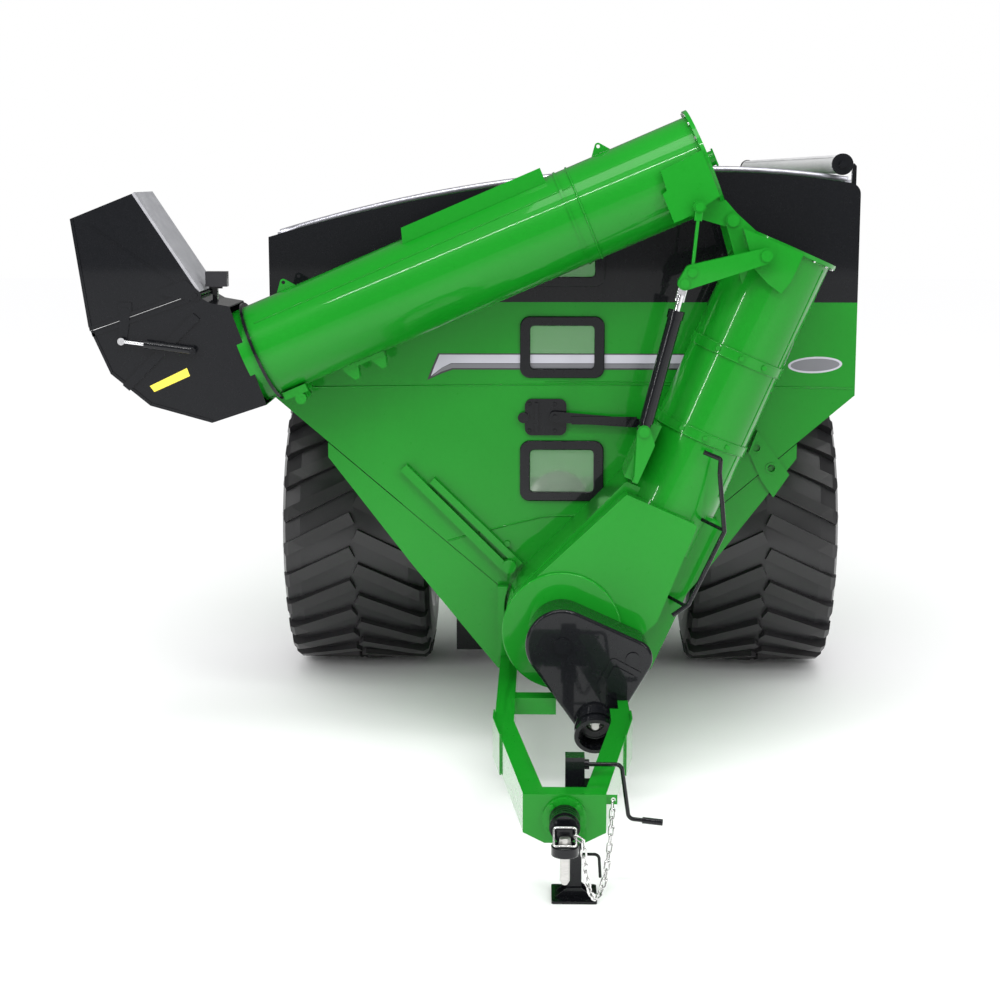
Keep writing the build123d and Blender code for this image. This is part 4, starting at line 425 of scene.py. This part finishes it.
roll_low, roll_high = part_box("tarp_roll")
roll_x = (roll_low.x + roll_high.x) / 2
roll_z = (roll_low.z + roll_high.z) / 2
roll_outer = (roll_high.x - roll_low.x) / 2
tube_outer = 0.0225
tarp_layer = 0.0024
turns = (roll_outer - 0.002 - tube_outer) / tarp_layer
steps_round = 40
steps_along = 60
wound = int(turns * steps_round)
tarp_points = []
for i in range(wound + 1):
    angle = -math.pi * 0.5 + i * 2 * math.pi / steps_round
    reach_out = tube_outer + tarp_layer * i / steps_round
    loose = (i / wound) ** 6
    for j in range(steps_along + 1):
        y = roll_low.y + (roll_high.y - roll_low.y) * j / steps_along
        sag = 0.0012 * loose * math.sin(j * 1.7 + 0.6 * math.sin(j * 0.45)) * math.sin(angle * 2)
        r = reach_out + sag
        tarp_points.append((roll_x + r * math.cos(angle), y, roll_z + r * math.sin(angle)))
row = steps_along + 1
tarp_faces = [
    (i * row + j, (i + 1) * row + j, (i + 1) * row + j + 1, i * row + j + 1)
    for i in range(wound)
    for j in range(steps_along)
]
tarp = new_piece("tarp_rolled", tarp_points, tarp_faces, tarp_cloth, "cart", smooth=True)
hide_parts("tarp_roll")


# ---- Side stripe ----
# Cut vinyl on the front sheet: a pale band over a darker one, edged in black, with a swept tip.
front_low, front_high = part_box("front_sheet")
front_y = front_low.y


def vinyl(name, colour, rough):
    material, shader, place = new_finish(name, colour, rough, coat=0.6, coat_rough=0.08)
    patch = place.noise(6.0, 3.0)
    dark = tuple(0.86 * c for c in colour)
    feed(
        shader,
        colour=patch.mixed(dark, colour),
        roughness=patch * 0.1 + (rough - 0.05),
        normal=place.noise(300.0, 1.0).bumped(0.0001, 0.3),
    )
    return material


def sheet_piece(name, outline, y, thickness, material, body):
    """A flat piece standing in front of the plane y, drawn in X and height above the ground."""
    count = len(outline)
    points = [(x, y, height + ground) for x, height in outline]
    points += [(x, y - thickness, height + ground) for x, height in outline]
    faces = [tuple(range(count)), tuple(reversed(range(count, 2 * count)))]
    faces += [(i, (i + 1) % count, (i + 1) % count + count, i + count) for i in range(count)]
    return new_piece(name, points, faces, material, body)


pale_vinyl = vinyl("pale_grey_vinyl", (0.50, 0.49, 0.56), 0.3)
dark_vinyl = vinyl("dark_grey_vinyl", (0.16, 0.16, 0.18), 0.3)
black_vinyl = vinyl("black_vinyl", (0.01, 0.01, 0.012), 0.3)
stripe_end = 1.30
edging = [(-0.852, 2.420), (-0.812, 2.520), (-0.782, 2.590), (stripe_end, 2.592), (stripe_end, 2.489)]
edging += [(-0.690, 2.487), (-0.760, 2.462)]
sheet_piece("stripe_edging", edging, front_y, 0.0008, black_vinyl, "cart")
pale = [(-0.828, 2.446), (-0.800, 2.518), (-0.772, 2.582), (stripe_end, 2.584), (stripe_end, 2.530)]
pale += [(-0.700, 2.528), (-0.757, 2.500)]
sheet_piece("stripe_pale", pale, front_y - 0.0008, 0.0006, pale_vinyl, "cart")
dark = [(-0.826, 2.440), (-0.757, 2.498), (-0.700, 2.524), (stripe_end, 2.526), (stripe_end, 2.499)]
dark += [(-0.692, 2.497), (-0.762, 2.474)]
sheet_piece("stripe_dark", dark, front_y - 0.0008, 0.0006, dark_vinyl, "cart")

# The stripe's far end: a plain dark lozenge with a pale rim, on the right of the auger tube.
lozenge = []
for i in range(36):
    turn = 2 * math.pi * i / 36
    lozenge.append((math.cos(turn), math.sin(turn)))
rim = [(1.585 + 0.168 * c + 0.02 * s, 2.522 + 0.052 * s) for c, s in lozenge]
core = [(1.585 + 0.152 * c + 0.02 * s, 2.522 + 0.040 * s) for c, s in lozenge]
sheet_piece("lozenge_rim", rim, front_y, 0.0008, pale_vinyl, "cart")
sheet_piece("lozenge_core", core, front_y - 0.0008, 0.0006, dark_vinyl, "cart")


# ---- Lap seam and panel welds ----
# The front sheet is two plates lapped at mid height, seam welded, with a stiffener arc below.
def bead(name, points, radius, body, material=green_paint, ripple=0.16):
    """A weld bead along a run of points, with the ripples a welder leaves."""
    path = [Vector(points[0])]
    pitch = radius * 0.9
    for a, b in zip(points, points[1:]):
        a, b = Vector(a), Vector(b)
        steps = max(1, int((b - a).length / pitch))
        path += [a.lerp(b, k / steps) for k in range(1, steps + 1)]
    sides = 8
    rings, quads = [], []
    for k, p in enumerate(path):
        ahead = path[min(k + 1, len(path) - 1)] - path[max(k - 1, 0)]
        ahead.normalize()
        across = ahead.orthogonal().normalized() if k == 0 else (across - ahead * across.dot(ahead)).normalized()
        over = ahead.cross(across)
        r = radius * (1 + ripple * math.sin(k * 1.9))
        if k in (0, len(path) - 1):
            r *= 0.35
        for s in range(sides):
            turn = 2 * math.pi * s / sides
            rings.append(p + (across * math.cos(turn) + over * math.sin(turn)) * r)
    for k in range(len(path) - 1):
        for s in range(sides):
            t = (s + 1) % sides
            quads.append((k * sides + s, k * sides + t, (k + 1) * sides + t, (k + 1) * sides + s))
    quads.append(tuple(reversed(range(sides))))
    last = (len(path) - 1) * sides
    quads.append(tuple(range(last, last + sides)))
    return new_piece(name, rings, quads, material, body, smooth=True)


def on_front(x, height, out=0.0):
    return (x, front_y - out, height + ground)


lap = [(-1.72, 2.372), (-0.90, 2.384), (0.0, 2.396), (0.55, 2.397), (1.828, 2.374)]
bead("lap_seam", [on_front(x, h) for x, h in lap], 0.0055, "cart", ripple=0.05)
bead("lap_seam_upper", [on_front(x, h + 0.030) for x, h in [(-0.12, 2.382), (0.86, 2.384)]], 0.004, "cart", ripple=0.05)
arc = [(-0.731, 1.387), (-0.60, 1.425), (-0.468, 1.46), (-0.30, 1.505), (-0.117, 1.549), (0.0, 1.556), (0.119, 1.557)]
bead("stiffener_arc", [on_front(x, h) for x, h in arc], 0.006, "cart", ripple=0.08)


# ---- Bolts ----
# Zinc or painted hexagon heads on washers, wherever a bolted piece meets the one behind it.
def bolt_heads(name, places, facing, radius, body, material):
    """Hexagon heads with chamfered tops on round washers, standing on places and facing one way."""
    facing = Vector(facing).normalized()
    side = facing.orthogonal().normalized()
    over = facing.cross(side)
    points, faces = [], []

    def stack(centre, rings, sides, turned):
        first = len(points)
        for height, r in rings:
            for s in range(sides):
                turn = 2 * math.pi * s / sides + turned
                points.append(centre + facing * height + (side * math.cos(turn) + over * math.sin(turn)) * r)
        for level in range(len(rings) - 1):
            for s in range(sides):
                t = (s + 1) % sides
                low = first + level * sides
                faces.append((low + s, low + t, low + sides + t, low + sides + s))
        faces.append(tuple(reversed(range(first, first + sides))))
        top = first + (len(rings) - 1) * sides
        faces.append(tuple(range(top, top + sides)))

    for k, place in enumerate(places):
        centre = Vector(place)
        stack(centre, [(0.0, radius * 1.28), (radius * 0.16, radius * 1.28), (radius * 0.22, radius * 1.2)], 20, 0.0)
        hexagon = [(radius * 0.2, radius), (radius * 0.78, radius), (radius * 0.9, radius * 0.88)]
        stack(centre, hexagon, 6, k * 0.7)
    return new_piece(name, points, faces, material, body)


bracket_low, bracket_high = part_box("front_bracket")
plate_face = front_y - 0.022
corner_bolts = [(x, plate_face, z + ground) for x in (-0.205, -0.045) for z in (2.105, 2.275)]
bolt_heads("bracket_bolts", corner_bolts, (0, -1, 0), 0.011, "cart", black_paint)

joints = {joint["name"]: joint for joint in frame["joints"]}
tube_outer_radius = 0.290


def tube_axes(joint_name):
    """The auger's start, its direction, the side towards the hinge, and the way to the hitch."""
    joint = joints[joint_name]
    start, ahead = Vector(joint["pos_m"]), Vector(joint["axis"]).normalized()
    hinge = Vector(joints["auger_fold"]["pos_m"])
    towards = hinge - start
    towards -= ahead * towards.dot(ahead)
    return start, ahead, towards.normalized(), Vector((0, -1, 0))


def on_tube(axes, along, around, out=0.0):
    """A point on a tube: metres along it, degrees round from the hitch side to the hinge side."""
    start, ahead, towards, forward = axes
    turn = math.radians(around)
    return start + ahead * along + (forward * math.cos(turn) + towards * math.sin(turn)) * (tube_outer_radius + out)


def ring_on_tube(axes, along, out, low=0, high=360, steps=72):
    return [on_tube(axes, along, low + (high - low) * k / steps, out) for k in range(steps + 1)]


lower = tube_axes("lower_auger_spin")
upper = tube_axes("upper_auger_spin")
flange_out = 0.017
for name, axes, body in (("lower", lower, "cart"), ("upper", upper, "upper_auger_tube")):
    places = [on_tube(axes, 0.024, 15 + 360 * k / 16, flange_out) for k in range(16)]
    bolt_heads(name + "_flange_bolts", places, axes[1], 0.011, body, bright_zinc)
bead("lower_flange_weld", ring_on_tube(lower, 0.027, 0.001), 0.006, "cart")
bead("upper_flange_weld", ring_on_tube(upper, 0.027, 0.001), 0.006, "upper_auger_tube")

# Rolled seams where the tube's lengths meet, and one straight seam along each length.
bead("upper_joint_seam", ring_on_tube(upper, 0.79, 0.0005), 0.007, "upper_auger_tube", ripple=0.06)
bead("upper_long_seam", [on_tube(upper, 0.8, -38, 0.0), on_tube(upper, 2.86, -38, 0.0)], 0.0045, "upper_auger_tube")
bead("lower_long_seam", [on_tube(lower, 0.05, -55, 0.0), on_tube(lower, 1.55, -55, 0.0)], 0.0045, "cart")
for k, along in enumerate((0.690, 0.748, 1.210, 1.268)):
    points = ring_on_tube(lower, along, 0.006, -72, 72, 40)
    bead("strap_weld_" + str(k + 1), points, 0.0045, "cart")


# ---- Spout trim ----
# Folded lips along the hood and elbow sheets, and a reflective yellow strip.
def strip_between(name, a, b, half, y, thickness, material, body):
    """A flat bar from a to b, drawn in X and height, standing in front of the plane y."""
    run = (Vector(b) - Vector(a)).normalized()
    aside = Vector((-run.y, run.x)) * half
    a, b = Vector(a), Vector(b)
    outline = [tuple(a - aside), tuple(b - aside), tuple(b + aside), tuple(a + aside)]
    return sheet_piece(name, outline, y, thickness, material, body)


elbow_low, elbow_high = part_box("spout_elbow")
elbow_front = 2.508
elbow_edge = [(-2.108, 2.226), (-2.479, 2.329), (-2.712, 2.520), (-2.822, 2.770)]
for k, (a, b) in enumerate(zip(elbow_edge, elbow_edge[1:])):
    inset = Vector((0.006, 0.010))
    strip_between(
        "elbow_lip_" + str(k + 1), tuple(Vector(a) + inset), tuple(Vector(b) + inset), 0.008,
        elbow_front, 0.006, black_paint, "upper_auger_tube",
    )
strip_between(
    "elbow_top_lip", (-2.815, 2.752), (-2.225, 2.962), 0.010,
    elbow_front, 0.006, black_paint, "upper_auger_tube",
)
strip_between(
    "hood_foot_lip", (-2.815, 2.796), (-2.240, 3.001), 0.010,
    elbow_front, 0.006, black_paint, "spout_hood",
)
strip_between(
    "hood_outer_lip", (-2.826, 2.800), (-2.914, 3.436), 0.009,
    elbow_front, 0.006, black_paint, "spout_hood",
)
strip_between(
    "hood_crease", (-2.250, 3.020), (-2.800, 3.400), 0.004,
    elbow_front, 0.003, black_paint, "spout_hood",
)

yellow, yellow_shader, yellow_place = new_finish("yellow_tape_painted_glow", (0.85, 0.72, 0.0), 0.35, coat=0.8)
cells = yellow_place.node("TexVoronoi", None, {0: yellow_place, 2: 130.0})
# The tape is given a faint white self-glow (emission 0.08): painted brightness standing in for light reflected by the
# tape, although the strip is no lamp.
yellow_shader.inputs["Emission Strength"].default_value = 0.08
feed(
    yellow_shader,
    colour=cells.between(0.0, 0.7).mixed((0.90, 0.80, 0.01), (0.72, 0.58, 0.0)),
    roughness=cells * 0.2 + 0.28,
    normal=cells.bumped(0.0006, 0.5),
)
tape = [(-2.478, 2.448), (-2.252, 2.557), (-2.235, 2.509), (-2.452, 2.412)]
sheet_piece("yellow_strip", tape, elbow_front, 0.0009, yellow, "upper_auger_tube")
